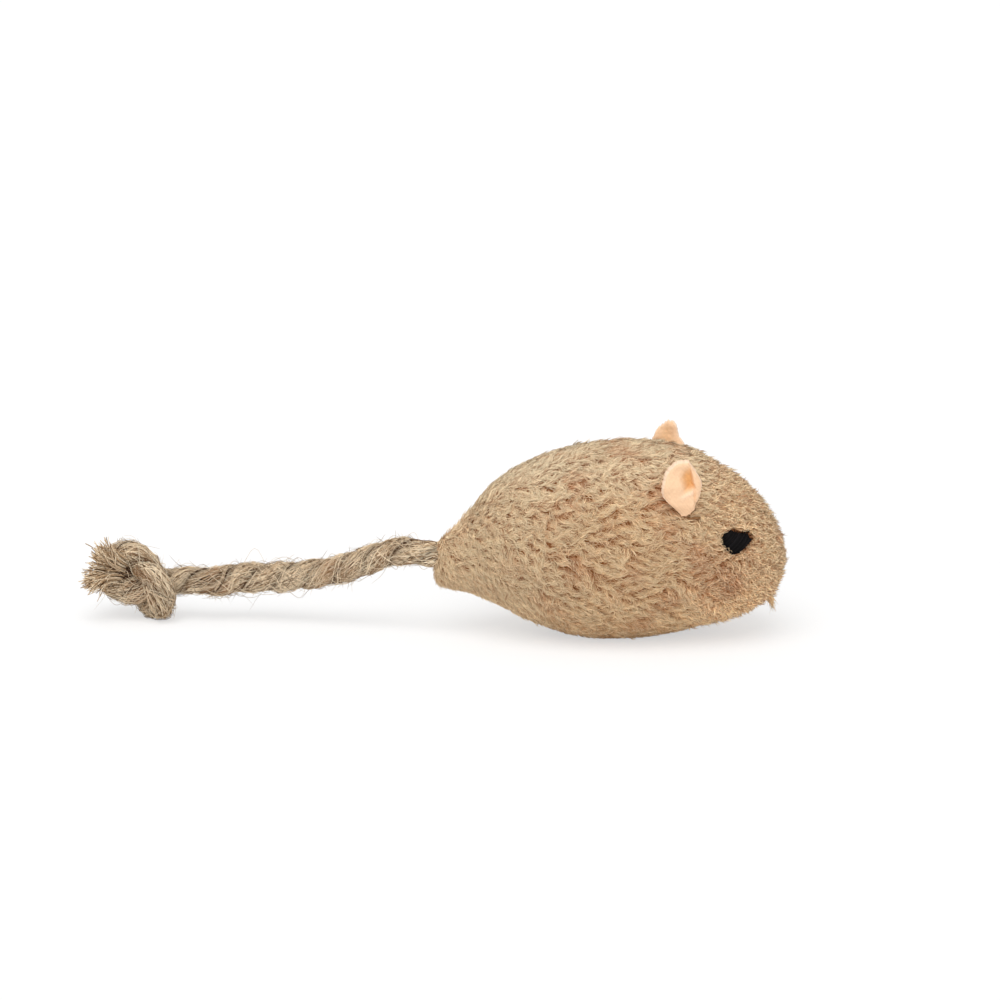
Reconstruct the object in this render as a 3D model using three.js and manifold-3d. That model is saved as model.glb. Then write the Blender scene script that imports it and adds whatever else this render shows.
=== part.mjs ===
// A stuffed catnip mouse: two plush side panels and a belly panel sewn round a fibre filling
// and a charge of dried catnip, with felt ears, embroidered eyes and a knotted rope tail.
// Millimetres, +Z up. +X points to the nose, +Y to the mouse's left. The belly rests on Z = 0
// and the origin is under the middle of the body.

import * as THREE from "three";
import { mergeVertices } from "three/addons/utils/BufferGeometryUtils.js";
import Module from "manifold-3d";

const wasm = await Module();
wasm.setup();

// Body
const BODY_LENGTH = 60;
const BODY_HEIGHT = 34;
const BODY_WIDTH = 30;
const FLAT_DEPTH = 0.5;
const PLUSH = 2.2;
const SEAM_ALLOWANCE = 2.6;
const SEAM_GAP = 0.3;
const CLEARANCE = 0.3;
const BELLY_WIDTH = 16;
const BELLY_REAR_INSET = 0.6;
const BELLY_CHIN_INSET = 1.9;
const BELLY_TOP = 11;

// Outline of the body seen from the side. Each pair is the share of the length from the rear
// and the share of the height from the lowest point; both lines have the same stations.
const BACK_LINE = [
  [0.003, 0.487], [0.042, 0.556], [0.097, 0.655], [0.165, 0.787], [0.267, 0.896], [0.417, 0.974],
  [0.575, 1], [0.71, 0.971], [0.8, 0.89], [0.883, 0.794], [0.945, 0.672], [0.987, 0.53], [1, 0.4],
];
const BELLY_LINE = [
  [0.003, 0.27], [0.05, 0.238], [0.097, 0.217], [0.165, 0.177], [0.267, 0.093], [0.4, 0.017],
  [0.533, 0], [0.65, 0.023], [0.767, 0.072], [0.875, 0.117], [0.948, 0.19], [0.987, 0.284], [1, 0.4],
];
// Half width of the body at those stations, as a share of the greatest half width
const HALF_WIDTHS = [0.12, 0.22, 0.38, 0.58, 0.8, 0.96, 1, 0.95, 0.84, 0.7, 0.51, 0.29, 0.02];
const STATIONS = 21;
const AROUND = 24;
const LEAST_SECTION = 0.8;

// Thread
const THREAD = 0.5;
const SEAM_DEPTH = 1.1;
const CLOSING_SWING = 0.8;
const CLOSING_STITCHES = 6;

// Filling
const FILLING_SPLIT = 2;
const CATNIP_LENGTH = 18;
const CATNIP_WIDTH = 12;
const CATNIP_HEIGHT = 13;
const CATNIP_UP = 16.5;

// Eyes
const EYE_LENGTH = 5.9;
const EYE_HEIGHT = 4.6;
const EYE_DEPTH = 0.8;
const EYE_PROUD = 0.3;
const EYE_FROM_NOSE = 8.4;
const EYE_UP_ANGLE = 16;
// Outline of the stitching as shares of its length and height from its middle, forward and up
const EYE_OUTLINE = [
  [-0.5, -0.16], [-0.27, 0.45], [0.07, 0.44], [0.32, 0.5], [0.48, 0.23],
  [0.36, -0.08], [0.17, -0.43], [0.03, -0.5], [-0.32, -0.43],
];

// Ears
const EAR_LENGTH = 10.2;
const EAR_WIDTH = 7;
const EAR_FELT = 0.9;
const EAR_CUP = 1.9;
const EAR_FOLD = 0.3;
const EAR_WIDEST = 0.55;
const EAR_ROOT = 1.8;
const EAR_ROOT_LENGTH = 2.2;
const EAR_LEAN = 8;
const EAR_UP_ANGLE = 25;
const RIGHT_EAR_FROM_NOSE = 17.7;
const LEFT_EAR_FROM_NOSE = 19.2;
const EAR_NEST = 4;
const EAR_NEST_DEPTH = 0.6;
const EAR_TACK_REACH = 1.2;

// Tail. The route is the rope's middle line, each point behind the rear seam, to the left and up.
const TAIL_ROPE = 4.4;
const TAIL_SWING = 60;
const ANCHOR_ROPE = 3.2;
const ANCHOR_LENGTH = 8;
const TACK_FROM_END = 3.2;
const TAIL_ROOT_ROUTE = [[0.5, 0, 13.9], [3.5, 0.8, 14.2], [7, 2, 13.8], [10.6, 3.1, 12.4]];
const TAIL_ROPE_ROUTE = [[10.6, 3.1, 12.4], [15.5, 4.6, 10.2], [21, 6, 8.8], [28, 7.6, 7.8], [34.5, 8.6, 7.2]];

// Knot: an overhand knot pulled tight, its strands this far apart between middle lines
const KNOT_ROPE = 3.5;
const KNOT_APART = 3.95;
const KNOT_ENTRY = [42.8, 9.4];
const KNOT_ENTRY_SPAN = 7.8;
const KNOT_ENTRY_RISE = -1;
const KNOT_END_SPAN = 7.4;
const KNOT_END_RISE = 3;
const KNOT_LOOSE = 2.4;
const KNOT_LOOSE_DEPTH = 3.1;
const KNOT_ROLL = 20;
const KNOT_TILT = 35;
const KNOT_POINTS = 72;
const KNOT_ROUNDS = 160;
const KNOT_CUT = 4;
const FRAY_LENGTH = 5.6;
const FRAY_FLARE = 1.6;
const FRAY_LOBES = 5;

const RIGHT = -1;
const LEFT = 1;

const REAR = -BODY_LENGTH / 2;
const NOSE = BODY_LENGTH / 2;
const rad = THREE.MathUtils.degToRad;
const vec = (point) => new THREE.Vector3(...point);

function solid(geometry) {
  const bare = geometry.clone();
  bare.deleteAttribute("normal");
  bare.deleteAttribute("uv");
  const merged = mergeVertices(bare, 1e-5);
  const mesh = new wasm.Mesh({
    numProp: 3,
    vertProperties: new Float32Array(merged.attributes.position.array),
    triVerts: new Uint32Array(merged.index.array),
  });
  return new wasm.Manifold(mesh);
}

function geometryOf(made) {
  const mesh = made.getMesh();
  const geometry = new THREE.BufferGeometry();
  geometry.setAttribute("position", new THREE.BufferAttribute(new Float32Array(mesh.vertProperties), 3));
  geometry.setIndex(new THREE.BufferAttribute(new Uint32Array(mesh.triVerts), 1));
  geometry.computeVertexNormals();
  return geometry;
}

function fromFaces(points, faces) {
  const geometry = new THREE.BufferGeometry();
  geometry.setFromPoints(points);
  geometry.setIndex(faces.flat());
  return geometry;
}

// A closed skin over rings of equal count, with a fan at each end
function loft(rings) {
  const count = rings[0].length;
  const points = rings.flat();
  const faces = [];
  for (let i = 0; i < rings.length - 1; i++) {
    for (let k = 0; k < count; k++) {
      const a = i * count + k;
      const b = i * count + (k + 1) % count;
      faces.push([a, b, a + count], [b, b + count, a + count]);
    }
  }
  const middle = (ring) => ring.reduce((sum, p) => sum.add(p), new THREE.Vector3()).divideScalar(count);
  const first = points.push(middle(rings[0])) - 1;
  const last = points.push(middle(rings[rings.length - 1])) - 1;
  const end = (rings.length - 1) * count;
  for (let k = 0; k < count; k++) {
    const next = (k + 1) % count;
    faces.push([first, next, k], [last, end + k, end + next]);
  }
  return fromFaces(points, faces);
}

function box(low, high) {
  const size = vec(high).sub(vec(low));
  const geometry = new THREE.BoxGeometry(size.x, size.y, size.z);
  geometry.translate((low[0] + high[0]) / 2, (low[1] + high[1]) / 2, (low[2] + high[2]) / 2);
  return solid(geometry);
}

function tube(points, radius, sides, steps) {
  const section = new THREE.Shape();
  for (let k = 0; k < sides; k++) {
    const angle = 2 * Math.PI * k / sides;
    const x = radius * Math.cos(angle);
    const y = radius * Math.sin(angle);
    if (k === 0) section.moveTo(x, y);
    else section.lineTo(x, y);
  }
  const extrudePath = new THREE.CatmullRomCurve3(points);
  return solid(new THREE.ExtrudeGeometry(section, { steps, extrudePath, bevelEnabled: false }));
}

function ball(centre, radius) {
  const geometry = new THREE.SphereGeometry(radius, 12, 8);
  geometry.translate(centre.x, centre.y, centre.z);
  return solid(geometry);
}

// Points set in a frame of three axes at an origin, turned right side out
function placed(geometry, along, up, out, origin) {
  const matrix = new THREE.Matrix4().makeBasis(along, up, out).setPosition(origin);
  const moved = geometry.clone().applyMatrix4(matrix);
  if (matrix.determinant() < 0) {
    const index = moved.index ?? new THREE.BufferAttribute(
      Uint32Array.from({ length: moved.attributes.position.count }, (_, i) => i), 1);
    const flipped = Array.from(index.array);
    for (let i = 0; i < flipped.length; i += 3) {
      [flipped[i + 1], flipped[i + 2]] = [flipped[i + 2], flipped[i + 1]];
    }
    moved.setIndex(flipped);
  }
  return moved;
}

// The body's form
function outlineCurve(line) {
  const points = line.map(([along, up], i) => new THREE.Vector3(
    REAR + along * BODY_LENGTH,
    HALF_WIDTHS[i] * BODY_WIDTH / 2,
    up * (BODY_HEIGHT + FLAT_DEPTH) - FLAT_DEPTH,
  ));
  return new THREE.CatmullRomCurve3(points, false, "catmullrom", 0.5);
}

const backCurve = outlineCurve(BACK_LINE);
const bellyCurve = outlineCurve(BELLY_LINE);

// A cross section of the body at a share of its run, drawn in by an inset
function section(run, inset = 0) {
  const top = backCurve.getPoint(run);
  const low = bellyCurve.getPoint(run);
  const centre = top.clone().add(low).multiplyScalar(0.5);
  const width = centre.y - inset;
  const rise = top.sub(low).multiplyScalar(0.5);
  rise.y = 0;
  rise.setLength(rise.length() - inset);
  centre.set(centre.x * (1 - 2 * inset / BODY_LENGTH), 0, centre.z);
  return { centre, rise, width, height: rise.length() };
}

function bodyPoint(run, angle, inset = 0) {
  const { centre, rise, width } = section(run, inset);
  const point = centre.addScaledVector(rise, Math.sin(angle));
  point.y += width * Math.cos(angle);
  return point;
}

function body(inset = 0) {
  const rings = [];
  for (let i = 0; i <= STATIONS; i++) {
    const run = Math.min(i / STATIONS, 0.985);
    const top = backCurve.getPoint(run);
    const low = bellyCurve.getPoint(run);
    const tall = top.distanceTo(low) / 2 - inset;
    const wide = top.y - inset;
    if (tall < LEAST_SECTION || wide < LEAST_SECTION) continue;
    const ring = [];
    for (let k = 0; k < AROUND; k++) ring.push(bodyPoint(run, 2 * Math.PI * k / AROUND, inset));
    rings.push(ring);
  }
  return solid(loft(rings));
}

function runAt(x, angle) {
  let low = 0;
  let high = 0.98;
  for (let i = 0; i < 40; i++) {
    const middle = (low + high) / 2;
    if (bodyPoint(middle, angle).x < x) low = middle;
    else high = middle;
  }
  return low;
}

// A point on the plush and the axes there: forward, up round the side and outward
function surfaceFrame(x, upAngle, side) {
  const angle = side === LEFT ? rad(upAngle) : Math.PI - rad(upAngle);
  const run = runAt(x, angle);
  const point = bodyPoint(run, angle);
  const along = bodyPoint(run + 0.01, angle).sub(point).normalize();
  const up = bodyPoint(run, angle + side * 0.02).sub(point);
  up.addScaledVector(along, -up.dot(along)).normalize();
  const out = along.clone().cross(up).multiplyScalar(-side);
  return { point, along, up, out };
}

const far = 2 * BODY_LENGTH;
const floor = box([-far, -far, -far], [far, far, 0]);
const outer = body().subtract(floor);
const shell = outer.subtract(body(PLUSH));
const seamZone = outer.subtract(body(PLUSH + SEAM_ALLOWANCE));

function half(side, from, to = far) {
  return side === LEFT ? box([-far, from, -far], [far, to, far]) : box([-far, -to, -far], [far, -from, far]);
}

// The belly panel is a leaf seen from below, from the rear seam to the chin
const bellyRear = REAR + BELLY_REAR_INSET;
const bellyChin = NOSE - BELLY_CHIN_INSET;

function bellyHalf(x) {
  const share = THREE.MathUtils.clamp((x - bellyRear) / (bellyChin - bellyRear), 0, 1);
  return BELLY_WIDTH / 2 * Math.sin(Math.PI * share) ** 0.8;
}

function bellyPrism(offset) {
  const count = 22;
  const edge = [];
  for (let i = 0; i <= count; i++) {
    const x = THREE.MathUtils.lerp(bellyRear - Math.max(offset, 0), bellyChin + Math.max(offset, 0), i / count);
    const wide = bellyHalf(x) + offset;
    if (wide > 0.15) edge.push(new THREE.Vector2(x, wide));
  }
  const back = edge.map((p) => new THREE.Vector2(p.x, -p.y)).reverse();
  const shape = new THREE.Shape([...back, ...edge].reverse());
  const geometry = new THREE.ExtrudeGeometry(shape, { depth: BELLY_TOP + far, bevelEnabled: false });
  geometry.translate(0, 0, -far);
  return solid(geometry);
}

// Seam lines
function backSeam(run) {
  return bodyPoint(run, Math.PI / 2, SEAM_DEPTH);
}

function bellySeam(run, side) {
  let point = bodyPoint(run, -Math.PI / 2, SEAM_DEPTH);
  for (let i = 0; i < 8; i++) {
    const across = bellyHalf(point.x) + SEAM_GAP / 2;
    const share = Math.min(across / section(run, SEAM_DEPTH).width, 0.95);
    const angle = -Math.acos(share);
    point = bodyPoint(run, side === LEFT ? angle : Math.PI - angle, SEAM_DEPTH);
  }
  return point;
}

function seamRun(line, from, to, count) {
  return Array.from({ length: count + 1 }, (_, i) => line(THREE.MathUtils.lerp(from, to, i / count)));
}

const backSeamLine = seamRun(backSeam, 0.08, 0.94, 24);
const rightSeamLine = seamRun((run) => bellySeam(run, RIGHT), 0.1, 0.9, 22);
const leftSeamLine = seamRun((run) => bellySeam(run, LEFT), 0.6, 0.9, 10);
const closingLine = seamRun((run) => bellySeam(run, LEFT), 0.12, 0.57, 2 * CLOSING_STITCHES);
closingLine.forEach((point, i) => {
  point.y += (i % 2 ? 1 : -1) * CLOSING_SWING;
});

const threadLines = [
  [backSeamLine, 22],
  [rightSeamLine, 20],
  [leftSeamLine, 8],
  [closingLine, 4 * CLOSING_STITCHES],
];
const threads = threadLines.map(([line, steps]) => tube(line, THREAD / 2, 6, steps));
const channels = threadLines.map(([line, steps]) => tube(line, THREAD / 2 + CLEARANCE, 6, steps));

// Knot: a loose overhand knot shortened step by step while its strands are held apart
function looseKnot() {
  const roll = new THREE.Quaternion().setFromAxisAngle(new THREE.Vector3(1, 0, 0), rad(KNOT_ROLL));
  const tilt = new THREE.Quaternion().setFromAxisAngle(new THREE.Vector3(0, 1, 0), rad(KNOT_TILT));
  const points = [vec([KNOT_ENTRY_SPAN, 0, KNOT_ENTRY_RISE])];
  for (let degrees = 150; degrees >= -150; degrees -= 10) {
    const t = rad(degrees);
    const point = new THREE.Vector3(
      -KNOT_LOOSE * (Math.sin(t) + 2 * Math.sin(2 * t)),
      KNOT_LOOSE_DEPTH * Math.sin(3 * t),
      -KNOT_LOOSE * (Math.cos(t) - 2 * Math.cos(2 * t)),
    );
    points.push(point.applyQuaternion(roll).applyQuaternion(tilt));
  }
  points.push(vec([-KNOT_END_SPAN, 0, KNOT_END_RISE]));
  return new THREE.CatmullRomCurve3(points).getSpacedPoints(KNOT_POINTS);
}

function tightened(points) {
  const last = points.length - 1;
  for (let round = 0; round < KNOT_ROUNDS; round++) {
    const length = points.slice(1).reduce((sum, p, i) => sum + p.distanceTo(points[i]), 0);
    const skip = Math.ceil(Math.PI / 2 * KNOT_APART * last / length);
    const next = points.map((p) => p.clone());
    for (let i = 1; i < last; i++) {
      next[i].lerp(points[i - 1].clone().lerp(points[i + 1], 0.5), 0.5);
    }
    for (let pass = 0; pass < 6; pass++) {
      for (let i = 0; i <= last; i++) {
        for (let j = i + skip; j <= last; j++) {
          const gap = next[i].distanceTo(next[j]);
          if (gap >= KNOT_APART) continue;
          const push = next[j].clone().sub(next[i]).multiplyScalar((KNOT_APART - gap) / gap / 2);
          if (i > 0) next[i].sub(push);
          if (j < last) next[j].add(push);
        }
      }
    }
    points = next;
  }
  return points;
}

function knotLine() {
  const points = tightened(looseKnot());
  const low = Math.min(...points.map((p) => p.z)) - KNOT_ROPE / 2;
  const shift = new THREE.Vector3(REAR - KNOT_ENTRY[0] - points[0].x, KNOT_ENTRY[1] - points[0].y, -low);
  return points.map((p) => p.add(shift));
}

const knotPoints = knotLine();

// The least gap between the knot's strands, over the points that lie more than a half turn apart
function knotGap(points) {
  const step = points[0].distanceTo(points[1]);
  const skip = Math.ceil(Math.PI / 2 * KNOT_APART / step);
  let least = Infinity;
  points.forEach((p, i) => points.slice(i + skip).forEach((q) => {
    least = Math.min(least, p.distanceTo(q));
  }));
  return least - KNOT_ROPE;
}

console.log(`least gap in the knot ${knotGap(knotPoints).toFixed(2)} mm`);

// Tail rope
const behindRear = ([back, left, up]) => new THREE.Vector3(REAR - back, left, up);
const rootRoute = TAIL_ROOT_ROUTE.map(behindRear);
const ropeRoute = TAIL_ROPE_ROUTE.map(behindRear);
const rootCurve = new THREE.CatmullRomCurve3(rootRoute);
const knotLead = knotPoints[0].clone().sub(knotPoints[1]).setLength(TAIL_ROPE).add(knotPoints[0]);
const ropeCurve = new THREE.CatmullRomCurve3([...ropeRoute, knotLead, knotPoints[0]]);
const tailPivot = rootRoute[0];
const bendPivot = ropeRoute[0];

function stretch(curve, from, to, count) {
  const length = curve.getLength();
  return Array.from({ length: count + 1 }, (_, i) => (
    curve.getPointAt(THREE.MathUtils.lerp(from, length - to, i / count) / length)));
}

const tailRoot = tube(stretch(rootCurve, 0, TAIL_ROPE / 2 + CLEARANCE, 6), TAIL_ROPE / 2, 10, 6)
  .add(ball(tailPivot, TAIL_ROPE / 2));
const tailRope = tube(stretch(ropeCurve, 0, CLEARANCE, 12), TAIL_ROPE / 2, 10, 14)
  .add(ball(bendPivot, TAIL_ROPE / 2));

// Room in the rear seam for the rope to swing from side to side
function tailMouth() {
  const room = TAIL_ROPE / 2 + CLEARANCE;
  let mouth = ball(tailPivot, room);
  const direction = rootRoute[1].clone().sub(tailPivot).setLength(2 * TAIL_ROPE);
  const up = new THREE.Vector3(0, 0, 1);
  for (let turn = -TAIL_SWING; turn <= TAIL_SWING; turn += TAIL_SWING / 4) {
    const reach = direction.clone().applyAxisAngle(up, rad(turn)).add(tailPivot);
    mouth = mouth.add(tube([tailPivot, reach], room, 12, 1));
  }
  return mouth;
}

const anchorStart = new THREE.Vector3(tailPivot.x + TAIL_ROPE / 2 + CLEARANCE, 0, tailPivot.z);
const anchorEnd = anchorStart.clone().add(new THREE.Vector3(ANCHOR_LENGTH, 0, 0));
const anchorRoom = tube(
  [anchorStart.clone().setX(tailPivot.x), anchorEnd.clone().setX(anchorEnd.x + CLEARANCE)],
  ANCHOR_ROPE / 2 + CLEARANCE, 10, 1);
const tackX = anchorEnd.x - TACK_FROM_END;
const tackHalf = SEAM_GAP / 2 + PLUSH;

function tackAcross(radius, reach) {
  const from = new THREE.Vector3(tackX, -reach, tailPivot.z);
  return tube([from, from.clone().setY(reach)], radius, 8, 1);
}

const tackRoom = tackAcross(THREAD / 2 + CLEARANCE, tackHalf + CLEARANCE);
const tailTack = tackAcross(THREAD / 2, tackHalf);
const tailAnchor = tube([anchorStart, anchorEnd], ANCHOR_ROPE / 2, 10, 2).subtract(tackRoom);

const knotCurve = new THREE.CatmullRomCurve3(knotPoints);
const knot = tube(stretch(knotCurve, 0, KNOT_CUT, 60), KNOT_ROPE / 2, 8, 60);

// The cut end of the rope, opened into a brush
function fray() {
  const length = knotCurve.getLength();
  const from = (length - KNOT_CUT + CLEARANCE) / length;
  const start = knotCurve.getPointAt(from);
  const along = knotCurve.getTangentAt(from);
  const side = new THREE.Vector3(0, 0, 1).cross(along).normalize();
  const up = along.clone().cross(side);
  const rings = [0, 0.35, 0.7, 1].map((share) => {
    const ring = [];
    const count = 4 * FRAY_LOBES;
    for (let k = 0; k < count; k++) {
      const angle = 2 * Math.PI * k / count;
      const ripple = 0.12 * share * Math.cos(FRAY_LOBES * angle);
      const radius = KNOT_ROPE / 2 * THREE.MathUtils.lerp(1, FRAY_FLARE, share) * (1 + ripple);
      ring.push(start.clone().addScaledVector(along, share * FRAY_LENGTH)
        .addScaledVector(side, radius * Math.cos(angle)).addScaledVector(up, radius * Math.sin(angle)));
    }
    return ring;
  });
  return solid(loft(rings));
}

// Eyes
function eyePrism(side, spread) {
  const { point, along, up, out } = surfaceFrame(NOSE - EYE_FROM_NOSE, EYE_UP_ANGLE, side);
  const corners = EYE_OUTLINE.map(([x, y]) => {
    const corner = new THREE.Vector3(x * EYE_LENGTH, y * EYE_HEIGHT, 0);
    return corner.setLength(corner.length() + spread);
  });
  const rim = new THREE.CatmullRomCurve3(corners, true).getPoints(20).slice(0, 20);
  const shape = new THREE.Shape(rim.map((p) => new THREE.Vector2(p.x, p.y)));
  const reach = 2 * PLUSH;
  const geometry = new THREE.ExtrudeGeometry(shape, { depth: 2 * reach, bevelEnabled: false });
  geometry.translate(0, 0, -reach);
  return solid(placed(geometry, along, up, out, point));
}

function eye(side) {
  return eyePrism(side, 0).intersect(body(-EYE_PROUD)).subtract(body(EYE_DEPTH));
}

function eyePocket(side) {
  return eyePrism(side, CLEARANCE).subtract(body(EYE_DEPTH + CLEARANCE));
}

// Ears: a leaf of felt, cupped and pinched to a roll that turns on its tacking thread
function earFrame(side) {
  const fromNose = side === LEFT ? LEFT_EAR_FROM_NOSE : RIGHT_EAR_FROM_NOSE;
  const { point, along, up: round, out: normal } = surfaceFrame(NOSE - fromNose, EAR_UP_ANGLE, side);
  const up = new THREE.Vector3(0, side * Math.sin(rad(EAR_LEAN)), Math.cos(rad(EAR_LEAN)));
  along.addScaledVector(up, -along.dot(up)).normalize();
  const out = along.clone().cross(up).multiplyScalar(-side);
  return { point, along, up, out, round, normal };
}

function earHalfWidth(share) {
  if (share > EAR_WIDEST) {
    const rest = (share - EAR_WIDEST) / (1 - EAR_WIDEST);
    return EAR_WIDTH / 2 * Math.sqrt(1 - 0.95 * rest ** 2.4);
  }
  const root = EAR_ROOT_LENGTH / 2;
  return root + (EAR_WIDTH / 2 - root) * Math.sin(Math.PI / 2 * share / EAR_WIDEST);
}

function earLeaf() {
  const across = 10;
  const rows = 10;
  const face = (lift) => {
    const points = [];
    for (let j = 0; j <= rows; j++) {
      for (let i = 0; i <= across; i++) {
        const share = j / rows;
        const place = 2 * i / across - 1;
        const opening = THREE.MathUtils.smoothstep(share, 0, 0.4) * (1 - 0.4 * share);
        const curl = EAR_CUP * opening * (place - EAR_FOLD) ** 2;
        points.push(new THREE.Vector3(place * earHalfWidth(share), share * EAR_LENGTH, curl + lift));
      }
    }
    return points;
  };
  const front = face(EAR_FELT / 2);
  const back = face(-EAR_FELT / 2);
  const rim = [];
  const at = (i, j) => j * (across + 1) + i;
  for (let i = 0; i < across; i++) rim.push(at(i, 0));
  for (let j = 0; j < rows; j++) rim.push(at(across, j));
  for (let i = across; i > 0; i--) rim.push(at(i, rows));
  for (let j = rows; j > 0; j--) rim.push(at(0, j));
  const faces = [];
  const offset = front.length;
  for (let j = 0; j < rows; j++) {
    for (let i = 0; i < across; i++) {
      const a = at(i, j);
      const b = at(i + 1, j);
      const c = at(i + 1, j + 1);
      const d = at(i, j + 1);
      faces.push([a, b, c], [a, c, d], [offset + a, offset + c, offset + b], [offset + a, offset + d, offset + c]);
    }
  }
  rim.forEach((a, i) => {
    const b = rim[(i + 1) % rim.length];
    faces.push([a, offset + a, b], [b, offset + a, offset + b]);
  });
  return fromFaces([...front, ...back], faces);
}

function alongAxis(frame, radius, halfLength, sides) {
  const from = frame.point.clone().addScaledVector(frame.along, -halfLength);
  const to = frame.point.clone().addScaledVector(frame.along, halfLength);
  return tube([from, to], radius, sides, 1);
}

const tackReach = EAR_ROOT_LENGTH / 2 + CLEARANCE + EAR_TACK_REACH;

function ear(side) {
  const frame = earFrame(side);
  return solid(placed(earLeaf(), frame.along, frame.up, frame.out, frame.point))
    .add(alongAxis(frame, EAR_ROOT / 2, EAR_ROOT_LENGTH / 2, 12))
    .subtract(alongAxis(frame, THREAD / 2 + CLEARANCE, far / 10, 8));
}

function earTack(side) {
  return alongAxis(earFrame(side), THREAD / 2, tackReach, 8);
}

// A nest in the pile for the ear's roll, its thread and the first stretch of the leaf
function earNest(side) {
  const frame = earFrame(side);
  const wide = EAR_ROOT_LENGTH + 4 * CLEARANCE;
  const block = new THREE.BoxGeometry(wide, EAR_NEST, EAR_NEST);
  block.translate(0, EAR_NEST / 4, EAR_NEST / 2 - EAR_NEST_DEPTH);
  const inFrame = placed(block, frame.along, frame.round, frame.normal, frame.point);
  return solid(inFrame)
    .add(alongAxis(frame, EAR_ROOT / 2 + CLEARANCE, EAR_ROOT_LENGTH / 2 + CLEARANCE, 12))
    .add(alongAxis(frame, THREAD / 2 + CLEARANCE, tackReach + CLEARANCE, 8));
}

// Panels
const bellyRoom = bellyPrism(SEAM_GAP);
const mouth = tailMouth();
const seamRoom = [...channels, mouth, anchorRoom, tackRoom];
const cutAll = (made, cuts) => cuts.reduce((rest, cut) => rest.subtract(cut), made);

function sidePanel(side) {
  const inner = SEAM_GAP / 2;
  const backEdge = seamZone.intersect(half(side, inner, inner + PLUSH));
  const bellyEdge = seamZone.intersect(bellyPrism(SEAM_GAP + PLUSH)).intersect(half(side, inner));
  const made = shell.intersect(half(side, inner)).add(backEdge).add(bellyEdge).subtract(bellyRoom);
  return cutAll(made, [...seamRoom, eyePocket(side), earNest(side)]);
}

function bellyPanel() {
  const edge = seamZone.intersect(bellyPrism(0)).subtract(bellyPrism(-PLUSH));
  return cutAll(shell.intersect(bellyPrism(0)).add(edge), seamRoom);
}

// Filling: a wad in the head and a wad in the rump, with the catnip between them
const catnipShape = (grow) => {
  const geometry = new THREE.SphereGeometry(1, 16, 12);
  geometry.scale(CATNIP_LENGTH / 2 + grow, CATNIP_WIDTH / 2 + grow, CATNIP_HEIGHT / 2 + grow);
  geometry.translate(FILLING_SPLIT, 0, CATNIP_UP);
  return solid(geometry);
};

const seamSlot = half(LEFT, -SEAM_GAP / 2 - PLUSH - CLEARANCE, SEAM_GAP / 2 + PLUSH + CLEARANCE)
  .add(bellyPrism(SEAM_GAP + PLUSH + CLEARANCE).subtract(bellyPrism(-PLUSH - CLEARANCE)))
  .subtract(body(PLUSH + SEAM_ALLOWANCE + CLEARANCE));
const filling = cutAll(body(PLUSH + CLEARANCE), [seamSlot, anchorRoom, tackRoom, catnipShape(CLEARANCE)]);
const rumpFilling = filling.intersect(box([-far, -far, -far], [FILLING_SPLIT - CLEARANCE / 2, far, far]));
const headFilling = filling.intersect(box([FILLING_SPLIT + CLEARANCE / 2, -far, -far], [far, far, far]));

// Assembly
const mouse = new THREE.Group();
mouse.name = "catnip_mouse";

function addPart(name, made, color, roughness = 0.9) {
  const material = new THREE.MeshStandardMaterial({ color, roughness });
  const mesh = new THREE.Mesh(geometryOf(made), material);
  mesh.name = name;
  mouse.add(mesh);
}

const TAN = 0xc4a378;
const SEWING = 0xb8935f;
const ROPE = 0xaf9678;
const PEACH = 0xf6cda2;
const BLACK = 0x17171b;
const WADDING = 0xf2efe8;
const HERB = 0x6f7a45;

addPart("right_side_panel", sidePanel(RIGHT), TAN);
addPart("left_side_panel", sidePanel(LEFT), TAN);
addPart("belly_panel", bellyPanel(), TAN);
addPart("back_seam_thread", threads[0], SEWING);
addPart("right_belly_seam_thread", threads[1], SEWING);
addPart("left_belly_seam_thread", threads[2], SEWING);
addPart("closing_thread", threads[3], SEWING);
addPart("rump_filling", rumpFilling, WADDING);
addPart("head_filling", headFilling, WADDING);
addPart("catnip_charge", catnipShape(0), HERB);
addPart("right_eye", eye(RIGHT), BLACK, 0.5);
addPart("left_eye", eye(LEFT), BLACK, 0.5);
addPart("right_ear", ear(RIGHT), PEACH);
addPart("left_ear", ear(LEFT), PEACH);
addPart("right_ear_tack", earTack(RIGHT), SEWING);
addPart("left_ear_tack", earTack(LEFT), SEWING);
addPart("tail_anchor", tailAnchor, ROPE);
addPart("tail_tack", tailTack, SEWING);
addPart("tail_root", tailRoot, ROPE);
addPart("tail_rope", tailRope, ROPE);
addPart("tail_knot", knot, ROPE);
addPart("tail_fray", fray(), ROPE);

export default mouse;
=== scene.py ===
"""Catnip mouse: a stuffed plush body with felt ears, sewn eyes and a knotted jute tail."""

import math

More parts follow.
